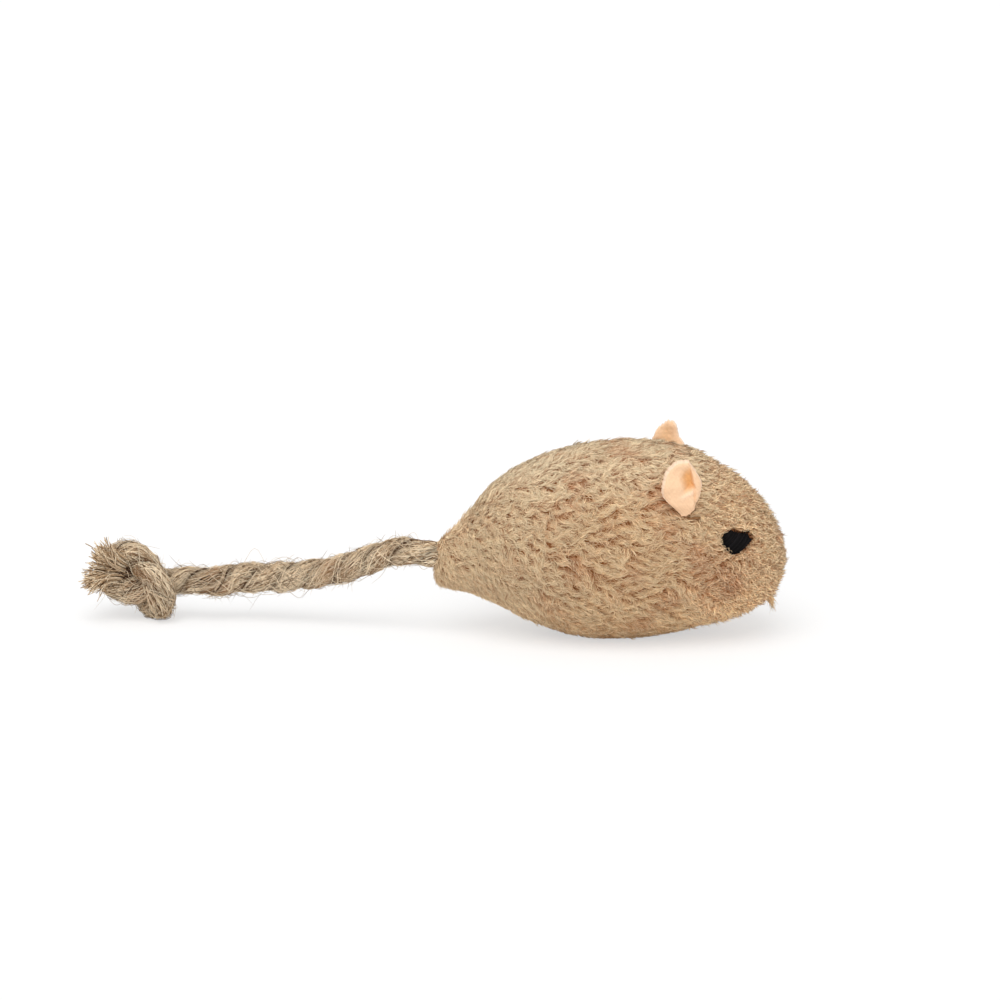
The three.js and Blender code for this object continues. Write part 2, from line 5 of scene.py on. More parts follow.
import bpy
import numpy as np
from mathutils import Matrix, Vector


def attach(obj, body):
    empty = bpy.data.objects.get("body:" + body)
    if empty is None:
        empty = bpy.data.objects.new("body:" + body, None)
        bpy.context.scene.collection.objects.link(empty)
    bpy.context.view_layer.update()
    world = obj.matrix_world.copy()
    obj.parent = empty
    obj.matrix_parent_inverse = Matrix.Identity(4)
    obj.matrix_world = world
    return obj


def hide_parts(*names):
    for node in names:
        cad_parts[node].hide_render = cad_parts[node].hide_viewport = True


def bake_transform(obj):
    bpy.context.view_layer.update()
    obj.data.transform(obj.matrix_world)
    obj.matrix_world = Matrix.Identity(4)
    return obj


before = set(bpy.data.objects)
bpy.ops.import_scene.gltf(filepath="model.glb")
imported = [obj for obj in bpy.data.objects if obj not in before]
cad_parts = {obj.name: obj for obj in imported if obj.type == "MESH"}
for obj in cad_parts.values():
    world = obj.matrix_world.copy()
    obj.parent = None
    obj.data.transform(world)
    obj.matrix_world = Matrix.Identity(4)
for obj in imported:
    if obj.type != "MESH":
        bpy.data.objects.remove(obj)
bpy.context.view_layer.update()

# Lengths are in millimetres until a mesh is made
MM = 0.001
FULL_TURN = 2 * math.pi

# Tubes that make fibres, strands and stitches
FIBRE_SIDES = 3
STITCH_SIDES = 6
CORE_SIDES = 12
CELL_MARGIN = 0.12

# Body, the same outline as the solids
BODY_LENGTH = 60
BODY_HEIGHT = 34
BODY_WIDTH = 30
FLAT_DEPTH = 0.5
BELLY_WIDTH = 16
BELLY_REAR_INSET = 0.6
BELLY_CHIN_INSET = 1.9
BACK_LINE = [
    [0.003, 0.487], [0.042, 0.556], [0.097, 0.655], [0.165, 0.787], [0.267, 0.896], [0.417, 0.974],
    [0.575, 1], [0.71, 0.971], [0.8, 0.89], [0.883, 0.794], [0.945, 0.672], [0.987, 0.53], [1, 0.4],
]
BELLY_LINE = [
    [0.003, 0.27], [0.05, 0.238], [0.097, 0.217], [0.165, 0.177], [0.267, 0.093], [0.4, 0.017],
    [0.533, 0], [0.65, 0.023], [0.767, 0.072], [0.875, 0.117], [0.948, 0.19], [0.987, 0.284], [1, 0.4],
]
HALF_WIDTHS = [0.12, 0.22, 0.38, 0.58, 0.8, 0.96, 1, 0.95, 0.84, 0.7, 0.51, 0.29, 0.02]

# Skin under the pile
SKIN_INSET = 0.8
SKIN_SWELL = 0.4
SKIN_THICK = 0.9
SKIN_ROWS = 88
REAR_SHARE = 0.16
REAR_FILL = 0.75
REAR_FORWARD = 0.6
REAR_CAP = 0.5
REAR_RINGS = [0.02, 0.3, 0.58, 0.82]
SIDE_COLUMNS = 34
BELLY_COLUMNS = 18
COLUMNS = 2 * SIDE_COLUMNS + BELLY_COLUMNS
SEAM_COLUMNS = [0, SIDE_COLUMNS, SIDE_COLUMNS + BELLY_COLUMNS]
CLOTH_SCALE = 100
CLOTH_FRAMES = 20
CLOTH_PRESSURE = 4

# Pile, in locks of fine strands over a short undercoat
LOCK_ALONG = 0.86
LOCK_ACROSS = 0.42
LOCK_HALF = 0.33
LOCK_STRANDS = 7
STRAND_LENGTH = 2.05
STRAND_RADIUS = 0.064
CRIMP = 0.13
STRAND_PLACES = [0.1, 0.4, 0.7, 1]
UNDER_STEP = 0.4
UNDER_LENGTH = 1.42
UNDER_RADIUS = 0.075
PILE_CLEAR = 0.1
TAIL_BARE = 1.5
EAR_BARE = 0.7
EAR_BARE_UP = 0.5

# Eyes and ears, at the same places as the solids
EYE_X = 21.6
EYE_UP_ANGLE = 16
EYE_LENGTH = 5.9
EYE_HEIGHT = 4.6
EYE_DRAWN = 0.95
EYE_BACK = 0.5
EYE_DEPTH = 4
EAR_X = {"right": 12.3, "left": 10.8}
EAR_UP_ANGLE = 25
EAR_LEAN = math.radians(8)
SIDES = {"right": -1, "left": 1}

# Tail, the same route as the solids
ROPE = 4.4
ROPE_PITCH = 11
ROPE_STRANDS = 2
FIBRE_PITCH = 32
BINDING_PITCH = 9.5
TAIL_INSIDE = 2.2
TAIL_ROOT_ROUTE = [[-30.5, 0, 13.9], [-33.5, 0.8, 14.2], [-37, 2, 13.8], [-40.6, 3.1, 12.4]]
TAIL_ROPE_ROUTE = [[-40.6, 3.1, 12.4], [-45.5, 4.6, 10.2], [-51, 6, 8.8], [-58, 7.6, 7.8], [-64.5, 8.6, 7.2]]
KNOT_ROPE = 3.5
KNOT_APART = 3.95
KNOT_ENTRY = [-72.8, 9.4]
KNOT_ENTRY_SPAN = 7.8
KNOT_ENTRY_RISE = -1
KNOT_END_SPAN = 7.4
KNOT_END_RISE = 3
KNOT_LOOSE = 2.4
KNOT_LOOSE_DEPTH = 3.1
KNOT_ROLL = math.radians(20)
KNOT_TILT = math.radians(35)
KNOT_POINTS = 72
KNOT_ROUNDS = 160
KNOT_CUT = 4
KNOT_PER_POINT = 6
KNOT_SAG_LIFT = 2
KNOT_SAG_X = [-76, -84]
KNOT_SAG_Z = [9, 2]
KNOT_DRAWN = 1
KNOT_DRAWN_OVER = 8
ROPE_LIFT = 1
ROPE_LIFT_REACH = 5
ROPE_END_ROUND = 1.8
LINE_STEP = 0.2
LINE_EASE = 5
ROPE_CLEAR = 0.07

# The cut end, with the middle and spread in degrees of the fans of its two brushes
FRAY_COUNT = 620
FRAY_LENGTH = 5.4
FRAY_UPPER = [13, 12]
FRAY_LOWER = [-23, 9]
FRAY_SWAY = 15


# Small helpers

def unit(vectors):
    return vectors / np.maximum(np.linalg.norm(vectors, axis=-1, keepdims=True), 1e-9)


def smoothstep(low, high, value):
    share = np.clip((value - low) / (high - low), 0, 1)
    return share * share * (3 - 2 * share)


def mix(first, second, share):
    return first + (second - first) * share


def linear(red, green, blue):
    """A colour given as 0 to 255 on screen, in linear light."""
    screen = np.array([red, green, blue], float) / 255
    return np.where(screen <= 0.04045, screen / 12.92, ((screen + 0.055) / 1.055) ** 2.4)


def waves(random, wavelength, terms=9):
    """Smooth noise of about unit strength over points in space."""
    ways = unit(random.normal(size=(terms, 3)))
    ways *= (FULL_TURN / (wavelength * random.uniform(0.75, 1.35, terms)))[:, None]
    phases = random.uniform(0, FULL_TURN, terms)
    return lambda points: np.sin(points @ ways.T + phases).sum(-1) * math.sqrt(2 / terms)


def turned(angle, first, second):
    """The first way, turned by an angle towards the second."""
    return np.cos(angle)[..., None] * first + np.sin(angle)[..., None] * second


def cubic(p1, p2, v1, v2, t):
    """The curve between two points, from their speeds."""
    return (2 * p1 - 2 * p2 + v1 + v2) * t**3 + (-3 * p1 + 3 * p2 - 2 * v1 - v2) * t**2 + v1 * t + p1


def grid_faces(rows, wide, closed=False):
    """The faces of a grid of points, whose rows are rings if it is closed."""
    row = np.arange(rows - 1)[:, None] * wide
    here = np.arange(wide if closed else wide - 1)[None]
    after = (here + 1) % wide
    return np.stack([row + here, row + after, row + wide + after, row + wide + here], -1).reshape(-1, 4)


def placed(name, data):
    """A new object in the scene."""
    made = bpy.data.objects.new(name, data)
    bpy.context.scene.collection.objects.link(made)
    return made


def mesh_object(name, points, faces, material, colours, corners_uv=None, shading=None):
    """A smooth mesh from points in millimetres and lists of faces with equal corner counts."""
    mesh = bpy.data.meshes.new(name)
    mesh.vertices.add(len(points))
    mesh.vertices.foreach_set("co", (points * MM).astype(np.float32).ravel())
    corners = np.concatenate([np.asarray(f).ravel() for f in faces])
    sizes = np.concatenate([np.full(len(f), np.asarray(f).shape[1]) for f in faces])
    mesh.loops.add(len(corners))
    mesh.loops.foreach_set("vertex_index", corners.astype(np.int32))
    mesh.polygons.add(len(sizes))
    starts = np.concatenate([[0], np.cumsum(sizes)[:-1]])
    mesh.polygons.foreach_set("loop_start", starts.astype(np.int32))
    mesh.update(calc_edges=True)
    mesh.shade_smooth()
    tone = mesh.attributes.new("tone", "FLOAT_COLOR", "POINT")
    full = np.concatenate([colours, np.ones((len(colours), 1))], axis=1)
    tone.data.foreach_set("color", full.astype(np.float32).ravel())
    if corners_uv is not None:
        layer = mesh.uv_layers.new(name="OFBake")
        layer.data.foreach_set("uv", corners_uv.astype(np.float32).ravel())
    if shading is not None:
        mesh.normals_split_custom_set_from_vertices(shading.tolist())
    mesh.materials.append(material)
    return placed(name, mesh)


def closed_sheet(front, back):
    """Points and faces of the solid between two grids with the same rows and columns."""
    rows, wide = front.shape[:2]
    face = grid_faces(rows, wide)
    offset = rows * wide
    rim = np.concatenate([np.arange(wide), np.arange(1, rows) * wide + wide - 1,
                          (rows - 1) * wide + np.arange(wide - 2, -1, -1), np.arange(rows - 2, 0, -1) * wide])
    edge = np.stack([rim, np.roll(rim, -1), offset + np.roll(rim, -1), offset + rim], -1)
    points = np.concatenate([front.reshape(-1, 3), back.reshape(-1, 3)])
    return points, [face, face[:, ::-1] + offset, edge[:, ::-1]]


def tube_faces(count, steps, sides):
    """The sides, tip and root of each tube, whose last point is its tip."""
    per = (steps - 1) * sides + 1
    base = (np.arange(count) * per)[:, None, None]
    here = np.arange(sides)
    quads = np.roll(grid_faces(steps - 1, sides, closed=True)[:, ::-1], 1, axis=1)
    top = (steps - 2) * sides
    tips = np.stack([top + here, np.full(sides, per - 1), top + (here + 1) % sides], axis=-1)
    return [(quads[None] + base).reshape(-1, 4), (tips[None] + base).reshape(-1, 3),
            (here[None, None] + base).reshape(-1, sides)]


def tube_cells(count, steps, sides):
    """Each tube's own cell of the bake square, with a margin: its sides, tip and root."""
    grid = math.ceil(math.sqrt(count))
    cell = np.stack([np.arange(count) % grid, np.arange(count) // grid], axis=-1)[:, None, :]
    here = np.arange(sides)
    j = np.repeat(np.arange(steps - 2), sides)
    k = np.tile(here, steps - 2)
    quad_uv = np.stack([np.stack([k, k, k + 1, k + 1], -1) / sides,
                        np.stack([j, j + 1, j + 1, j], -1) / (steps - 1)], -1).reshape(-1, 2)
    low, high = np.full(sides, steps - 2), np.full(sides, steps - 1)
    tip_uv = np.stack([np.stack([here, here + 0.5, here + 1], -1) / sides,
                       np.stack([low, high, low], -1) / (steps - 1)], -1).reshape(-1, 2)
    root_uv = np.stack([here / sides, np.full(sides, -CELL_MARGIN / 2)], -1)
    inner = 1 - 2 * CELL_MARGIN
    placed_parts = [(cell + CELL_MARGIN + inner * part[None]) / grid for part in (quad_uv, tip_uv, root_uv)]
    return np.concatenate([part.reshape(-1, 2) for part in placed_parts])


def tube_parts(paths, radii, sides, lifts, colours, soft):
    """Tapering tubes with a closed root and a pointed tip: points, faces, colours, bake cells and shading.

    A soft tube is shaded partly like the surface that it lies on.
    """
    count, steps, _ = paths.shape
    ahead = unit(np.gradient(paths, axis=1))
    if lifts.ndim == 2:
        lifts = np.repeat(lifts[:, None, :], steps, axis=1)
    side = unit(np.cross(ahead, lifts))
    lift = np.cross(side, ahead)
    turn = np.arange(sides) * FULL_TURN / sides
    round_it = turned(turn, side[:, :, None, :], lift[:, :, None, :])
    rings = paths[:, :, None, :] + radii[:, :, None, None] * round_it
    points = np.concatenate([rings[:, :-1].reshape(count, -1, 3), paths[:, -1:, :]], axis=1)
    tones = np.concatenate([np.repeat(colours[:, :-1], sides, axis=1), colours[:, -1:]], axis=1)
    facing = unit(mix(round_it[:, :-1], lifts[:, :-1, None, :], soft)).reshape(count, -1, 3)
    facing = np.concatenate([facing, lifts[:, -1:]], axis=1)
    return (points.reshape(-1, 3), tube_faces(count, steps, sides), tones.reshape(-1, 3),
            tube_cells(count, steps, sides), facing.reshape(-1, 3))


def tubes_object(name, groups, material, soft=0.0):
    """One mesh from several sets of tubes, each with its own part of the bake square."""
    points, faces, tones, uvs, shading = [], [], [], [], []
    across = math.ceil(math.sqrt(len(groups)))
    offset = 0
    for index, group in enumerate(groups):
        p, f, t, uv, facing = tube_parts(*group, soft)
        corner = np.array([index % across, index // across])
        starts = np.cumsum([0] + [part.size for part in f])
        points.append(p)
        tones.append(t)
        shading.append(facing)
        for part, a, b in zip(f, starts[:-1], starts[1:]):
            faces.append(part + offset)
            uvs.append((uv[a:b] + corner) / across)
        offset += len(p)
    return mesh_object(name, np.concatenate(points), faces, material, np.concatenate(tones),
                       np.concatenate(uvs), np.concatenate(shading) if soft else None)


# Materials

def new_material(name, roughness, specular):
    made = bpy.data.materials.new(name)
    made.use_nodes = True
    shader = made.node_tree.nodes["Principled BSDF"]
    shader.inputs["Roughness"].default_value = roughness
    shader.inputs["Specular IOR Level"].default_value = specular
    return made, made.node_tree, shader


def node(tree, kind, **values):
    made = tree.nodes.new(kind)
    for key, value in values.items():
        if key in made.inputs:
            made.inputs[key].default_value = value
        else:
            setattr(made, key, value)
    return made


def grained(tree, shader, size, detail, rough, bump, depth):
    """Fine noise of a size in millimetres, which also gives the shader its relief."""
    place = node(tree, "ShaderNodeTexCoord")
    noise = node(tree, "ShaderNodeTexNoise", Scale=1 / (size * MM), Detail=detail, Roughness=rough)
    tree.links.new(place.outputs["Object"], noise.inputs["Vector"])
    if bump:
        relief = node(tree, "ShaderNodeBump", Strength=bump, Distance=depth * MM)
        tree.links.new(noise.outputs["Fac"], relief.inputs["Height"])
        tree.links.new(relief.outputs["Normal"], shader.inputs["Normal"])
    return noise.outputs["Fac"]


def toned_material(name, grain, amount, roughness, specular, bump=0.0):
    """Colour from the mesh's own tones, varied by a fine grain of that size in millimetres."""
    made, tree, shader = new_material(name, roughness, specular)
    noise = grained(tree, shader, grain, 3.0, 0.6, bump, 0.2)
    tone = node(tree, "ShaderNodeAttribute", attribute_name="tone")
    ramp = node(tree, "ShaderNodeMapRange", **{"From Min": 0.3, "From Max": 0.7, "To Min": 1 - amount,
                                               "To Max": 1 + amount})
    scale = node(tree, "ShaderNodeVectorMath", operation="SCALE")
    tree.links.new(noise, ramp.inputs["Value"])
    tree.links.new(tone.outputs["Color"], scale.inputs[0])
    tree.links.new(ramp.outputs["Result"], scale.inputs["Scale"])
    tree.links.new(scale.outputs["Vector"], shader.inputs["Base Color"])
    return made


pile_finish = toned_material("pile", 0.5, 0.06, roughness=0.85, specular=0.15)
skin_finish = toned_material("backing", 0.35, 0.2, roughness=0.9, specular=0.1, bump=0.4)
rope_finish = toned_material("jute", 0.35, 0.14, roughness=0.85, specular=0.15)
felt_finish = toned_material("felt", 0.22, 0.04, roughness=0.95, specular=0.1, bump=0.3)
eye_finish = toned_material("embroidery", 0.25, 0.2, roughness=0.7, specular=0.06)


def fibre_material(name, colour, size):
    """A plain fibrous finish for the pieces inside."""
    made, tree, shader = new_material(name, 0.9, 0.15)
    noise = grained(tree, shader, size, 4.0, 0.65, 0.5, 0.3)
    ramp = node(tree, "ShaderNodeValToRGB")
    tones = (colour * 0.55, np.minimum(colour * 1.2, 0.95))
    for stop, place, tone in zip(ramp.color_ramp.elements, (0.3, 0.7), tones):
        stop.position = place
        stop.color = (*tone, 1)
    tree.links.new(noise, ramp.inputs["Fac"])
    tree.links.new(ramp.outputs["Color"], shader.inputs["Base Color"])
    return made


INNER_FINISHES = {
    "thread": (fibre_material("sewing_thread", linear(140, 102, 68), 0.3),
               ["back_seam_thread", "right_belly_seam_thread", "left_belly_seam_thread", "closing_thread",
                "right_ear_tack", "left_ear_tack", "tail_tack"]),
    "wadding": (fibre_material("wadding", linear(238, 236, 230), 1.2), ["rump_filling", "head_filling"]),
    "catnip": (fibre_material("catnip", linear(112, 118, 70), 0.8), ["catnip_charge"]),
    "rope": (fibre_material("rope_core", linear(165, 138, 104), 0.5), ["tail_anchor"]),
}
for slot_name, (finish, names) in INNER_FINISHES.items():
    for name in names:
        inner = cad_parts[name]
        inner.data.materials.clear()
        inner.data.materials.append(finish)


# Camera at the photograph's angle

VIEW_ELEVATION = math.radians(14)
VIEW_DISTANCE = 700
VIEW_WIDTH = 170.4
VIEW_TARGET = Vector((-18.7, 0, 23.5))
SENSOR_WIDTH = 36

camera_data = bpy.data.cameras.new("camera")
camera_data.sensor_width = SENSOR_WIDTH
camera_data.lens = SENSOR_WIDTH / (VIEW_WIDTH / VIEW_DISTANCE)
camera_data.clip_start = 0.01
camera_data.clip_end = 50
camera = placed("camera", camera_data)
away = Vector((0, -math.cos(VIEW_ELEVATION), math.sin(VIEW_ELEVATION)))
camera.location = (VIEW_TARGET + away * VIEW_DISTANCE) * MM
camera.rotation_euler = (-away).to_track_quat("-Z", "Y").to_euler()
bpy.context.scene.camera = camera


# Rope

def path_length(points):
    return np.linalg.norm(np.diff(points, axis=0), axis=1).sum()


def distances(points):
    """How far each point is along its line."""
    return np.concatenate([[0], np.cumsum(np.linalg.norm(np.diff(points, axis=0), axis=1))])


def evenly(points, spacing=None, count=None):
    """The same line with evenly spaced points."""
    steps = distances(points)
    count = count or max(2, round(steps[-1] / spacing) + 1)
    places = np.linspace(0, steps[-1], count)
    return np.stack([np.interp(places, steps, points[:, i]) for i in range(3)], axis=1)


def through(points, per=24):
    """A centripetal spline through points."""
    points = np.asarray(points, float)
    full = np.vstack([2 * points[0] - points[1], points, 2 * points[-1] - points[-2]])
    made = []
    for p0, p1, p2, p3 in zip(full, full[1:], full[2:], full[3:]):
        d0, d1, d2 = (max(np.linalg.norm(b - a) ** 0.5, 1e-4) for a, b in ((p0, p1), (p1, p2), (p2, p3)))
        v1 = ((p1 - p0) / d0 - (p2 - p0) / (d0 + d1) + (p2 - p1) / d1) * d1
        v2 = ((p2 - p1) / d1 - (p3 - p1) / (d1 + d2) + (p3 - p2) / d2) * d1
        t = np.linspace(0, 1, per, endpoint=False)[:, None]
        made.append(cubic(p1, p2, v1, v2, t))
    return np.vstack(made + [points[-1:]])


def softened(points, reach):
    """A line with its small kinks eased over that many points, and its ends kept."""
    weights = np.exp(-0.5 * (np.arange(-3 * reach, 3 * reach + 1) / reach) ** 2)
    weights /= weights.sum()
    before = 2 * points[0] - points[3 * reach:0:-1]
    after = 2 * points[-1] - points[-2:-3 * reach - 2:-1]
    padded = np.vstack([before, points, after])
    return np.stack([np.convolve(padded[:, i], weights, "valid") for i in range(3)], axis=1)


def loose_knot():
    points = [[KNOT_ENTRY_SPAN, 0, KNOT_ENTRY_RISE]]
    for degrees in range(150, -151, -10):
        t = math.radians(degrees)
        x = -KNOT_LOOSE * (math.sin(t) + 2 * math.sin(2 * t))
        y = KNOT_LOOSE_DEPTH * math.sin(3 * t)
        z = -KNOT_LOOSE * (math.cos(t) - 2 * math.cos(2 * t))
        rolled = y * math.sin(KNOT_ROLL) + z * math.cos(KNOT_ROLL)
        points.append([x * math.cos(KNOT_TILT) + rolled * math.sin(KNOT_TILT),
                       y * math.cos(KNOT_ROLL) - z * math.sin(KNOT_ROLL),
                       rolled * math.cos(KNOT_TILT) - x * math.sin(KNOT_TILT)])
    points.append([-KNOT_END_SPAN, 0, KNOT_END_RISE])
    return evenly(through(points), count=KNOT_POINTS + 1)


def tightened(points):
    """Draws the loose knot tight, with its strands kept one rope apart."""
    last = len(points) - 1
    for _ in range(KNOT_ROUNDS):
        skip = math.ceil(math.pi / 2 * KNOT_APART * last / path_length(points))
        drawn = points.copy()
        drawn[1:-1] = points[1:-1] * 0.5 + (points[:-2] + points[2:]) * 0.25
        line = drawn.tolist()
        for _ in range(6):
            for i in range(last + 1):
                a = line[i]
                for j in range(i + skip, last + 1):
                    b = line[j]
                    x, y, z = b[0] - a[0], b[1] - a[1], b[2] - a[2]
                    gap = x * x + y * y + z * z
                    if gap >= KNOT_APART * KNOT_APART:
                        continue
                    gap = math.sqrt(gap)
                    push = (KNOT_APART - gap) / gap / 2
                    if i > 0:
                        a[0] -= x * push
                        a[1] -= y * push
                        a[2] -= z * push
                    if j < last:
                        b[0] += x * push
                        b[1] += y * push
                        b[2] += z * push
        points = np.array(line)
    return points


knot_points = tightened(loose_knot())
knot_points += [KNOT_ENTRY[0] - knot_points[0][0], KNOT_ENTRY[1] - knot_points[0][1],
                KNOT_ROPE / 2 - knot_points[:, 2].min()]
lead = knot_points[0] + ROPE * unit(knot_points[0] - knot_points[1])
root_line = through(TAIL_ROOT_ROUTE)
rope_line = through(TAIL_ROPE_ROUTE + [lead, knot_points[0]])
knot_line = through(knot_points, KNOT_PER_POINT)
far_share = smoothstep(*KNOT_SAG_X, knot_line[:, 0])
knot_line[:, 2] += KNOT_SAG_LIFT * far_share * smoothstep(*KNOT_SAG_Z, knot_line[:, 2])
knot_turns = np.arange(len(knot_line)) / KNOT_PER_POINT
knot_line[:, 0] -= KNOT_DRAWN * smoothstep(0, KNOT_DRAWN_OVER, knot_turns)
inner_end = root_line[0] - TAIL_INSIDE * unit(root_line[1] - root_line[0])

tail_line = evenly(np.vstack([inner_end, root_line, rope_line[1:], knot_line[1:]]), LINE_STEP)
free_length = path_length(root_line) + path_length(rope_line)
from_knot = np.arange(len(tail_line)) * LINE_STEP - free_length
tail_line[:, 2] += ROPE_LIFT * np.exp(-(from_knot / ROPE_LIFT_REACH) ** 2)
tail_line = softened(tail_line, LINE_EASE)
exit_at = round(TAIL_INSIDE / LINE_STEP)
knot_start = exit_at + round(free_length / LINE_STEP)
rope_end = len(tail_line) - 1 - round(KNOT_CUT / LINE_STEP)


def carried_frames(points):
    """Two directions across a line that turn as little as they can along it."""
    ahead = unit(np.gradient(points, axis=0))
    across = np.zeros_like(points)
    first = np.cross(ahead[0], [0, 0, 1.0])
    across[0] = first / np.linalg.norm(first)
    for i in range(1, len(points)):
        moved = across[i - 1] - ahead[i] * np.dot(across[i - 1], ahead[i])
        across[i] = moved / np.linalg.norm(moved)
    return ahead, across, np.cross(ahead, across)


# Jute tones, the darkest of them painted shade for the core and the grooves between the strands
JUTE_PAINTED_SHADE = linear(72, 52, 38)
JUTE_DARK = linear(124, 95, 69)
JUTE = linear(195, 165, 130)
JUTE_PALE = linear(248, 229, 199)
JUTE_RED = linear(176, 128, 88)

rope_random = np.random.default_rng(11)
tail_ahead, tail_across, tail_rise = carried_frames(tail_line)
along_tail = np.arange(len(tail_line)) * LINE_STEP
knot_along = knot_start * LINE_STEP
# Radius by the distance along the rope, with slight bumps and a rounded inner end
rope_radius = np.interp(along_tail, [0, 14, knot_along - 8, knot_along, knot_along + 6],
                        [2.2, 2.3, 2.5, 2.3, 2.35])
rope_radius *= 1 + 0.03 * np.sin(along_tail * 1.1) + 0.02 * np.sin(along_tail * 2.7 + 1)
rope_radius *= np.sqrt(1 - (1 - np.clip(along_tail / ROPE_END_ROUND, 0.05, 1)) ** 2)
ply_depth = np.interp(along_tail, [0, knot_along - 6, knot_along + 4], [0.17, 0.16, 0.12])
red_fibre = waves(rope_random, 9)


def jute_tone(pale):
    """From the darkest fibres at 0 to the palest at 1."""
    dark = mix(JUTE_DARK, JUTE, np.clip(pale * 2, 0, 1))
    return mix(dark, JUTE_PALE, np.clip(pale * 2 - 1, 0, 1))


def above_floor(paths, least=ROPE_CLEAR):
    paths[..., 2] = np.maximum(paths[..., 2], least)
    return paths


def own(low, high, count):
    """A random value for each fibre."""
    return rope_random.uniform(low, high, (count, 1))


def varied(middle, spread, count):
    """A random value near the middle for each fibre."""
    return rope_random.normal(middle, spread, (count, 1))


def width_along(thin, thick, count, share, taper, power=4):
    """Radii of fibres that are thickest at their middle."""
    return own(thin, thick, count) * (1 - taper * np.abs(2 * share - 1) ** power)


def stretches(first, last, count, shortest, longest, steps):
    """Points of the rope's line along random stretches, and their shares of each stretch."""
    length = rope_random.uniform(shortest, longest, count) / LINE_STEP
    begin = first + rope_random.uniform(0, 1, count) * (last - first - length)
    share = np.linspace(0, 1, steps)
    return np.round(begin[:, None] + share * length[:, None]).astype(int), share


def on_rope(picked, turn, lift):
    """Points on the twisted rope, their ways out, and how near each is to a strand's crown."""
    crown = np.abs(np.cos(ROPE_STRANDS / 2 * (turn + FULL_TURN * along_tail[picked] / ROPE_PITCH))) ** 0.5
    reach = rope_radius[picked] * (1 - ply_depth[picked] * (1 - crown)) * lift
    out = turned(turn, tail_across[picked], tail_rise[picked])
    return tail_line[picked] + reach[..., None] * out, out, crown


def rope_core(first, last):
    """The inside, coloured dark as painted shade, seen between the fibres."""
    picked = np.arange(first, last + 1, 2)
    path = tail_line[picked][None]
    radii = np.minimum(rope_radius[picked] * (0.9 - ply_depth[picked]), KNOT_ROPE / 2 - 0.05)[None].copy()
    radii[:, :2] *= 0.7
    return path, radii, CORE_SIDES, tail_across[picked][None], np.broadcast_to(JUTE_PAINTED_SHADE, path.shape).copy()


def rope_fibres(first, last, count, steps=16):
    """Fibres that run along the rope with a slight twist, tucked in at their ends."""
    length = np.minimum(rope_random.uniform(8, 18, count) / LINE_STEP, last - first - 1)
    begin = first - 0.6 * length + rope_random.uniform(0, 1, count) * (last - first + 10 - 0.4 * length)
    share = np.linspace(0, 1, steps)
    start = np.maximum(begin, first)[:, None]
    stop = np.minimum(begin + length, last)[:, None]
    picked = np.round(start + share * (stop - start)).astype(int)
    turn = own(0, FULL_TURN, count)
    turn = turn - FULL_TURN * along_tail[picked] / FIBRE_PITCH * varied(1, 0.25, count)
    turn = turn + 0.16 * np.sin(share * FULL_TURN * 1.6 + own(0, FULL_TURN, count))
    lift = own(0.88, 1.0, count) * (1 - 0.2 * np.abs(2 * share - 1) ** 6)
    lift = lift + 0.03 * np.sin(share * 9 + own(0, FULL_TURN, count))
    path, out, crown = on_rope(picked, turn, lift)
    thick = width_along(0.05, 0.115, count, share, 0.6)
    pale = varied(0.67, 0.56, count) + 0.1 * np.sin(share * 11) + 0.1 * (picked > knot_start)
    red = 0.35 * np.clip(red_fibre(path) - 0.4, 0, 1)[..., None]
    # Painted shade: fibres are darker the further they lie from a strand's crown, towards the grooves.
    tone = mix(jute_tone(np.clip(pale, 0, 1)[..., None]), JUTE_RED, red) * (0.42 + 0.58 * crown)[..., None]
    return above_floor(path), thick, FIBRE_SIDES, out, tone


def groove_shade_fibres(first, last, count):
    """Fibres in the grooves between the strands, coloured dark as painted shade."""
    picked, share = stretches(first, last, count, 1.6, 4, 8)
    groove = (rope_random.integers(0, ROPE_STRANDS, (count, 1)) + 0.5) * FULL_TURN / ROPE_STRANDS
    turn = groove - FULL_TURN * along_tail[picked] / ROPE_PITCH + varied(0, 0.09, count)
    path, out, _ = on_rope(picked, turn, own(1, 1.05, count) + 0 * share)
    thick = width_along(0.06, 0.12, count, share, 0.7, 3)
    tone = mix(JUTE_PAINTED_SHADE, JUTE_DARK, own(0, 0.5, count)[..., None]) + np.zeros_like(path)
    return above_floor(path), thick, FIBRE_SIDES, out, tone


def binding_hairs(first, last, count):
    """Single pale fibres that wind more steeply round the rope."""
    picked, share = stretches(first, last, count, 5, 10, 14)
    turn = own(0, FULL_TURN, count)
    lay = rope_random.choice([1, 1, 1, -0.7], (count, 1)) * varied(1, 0.26, count)
    turn = turn - FULL_TURN * along_tail[picked] / BINDING_PITCH * lay
    path, out, _ = on_rope(picked, turn, own(0.98, 1.08, count) + 0 * share)
    thick = width_along(0.05, 0.1, count, share, 0.5)
    tone = jute_tone(own(0.6, 1, count)[..., None] + np.zeros_like(path))
    return above_floor(path), thick, FIBRE_SIDES, out, tone


def rope_frizz(first, last, count):
    """Short curly fibres that lie over the rope every way."""
    picked, share = stretches(first, last, count, 1.5, 5, 8)
    bow = varied(0, 0.35, count) * np.sin(share * 5 + own(0, FULL_TURN, count))
    turn = own(0, FULL_TURN, count) + varied(0, 0.7, count) * share + bow
    path, out, _ = on_rope(picked, turn, own(1, 1.05, count) + 0.1 * np.sin(math.pi * share))
    thick = width_along(0.025, 0.05, count, share, 0.4)
    pale = np.where(own(0, 1, count)[..., None] < 0.35, 0.05, 0.95)
    return above_floor(path), thick, FIBRE_SIDES, out, jute_tone(pale + np.zeros_like(path))


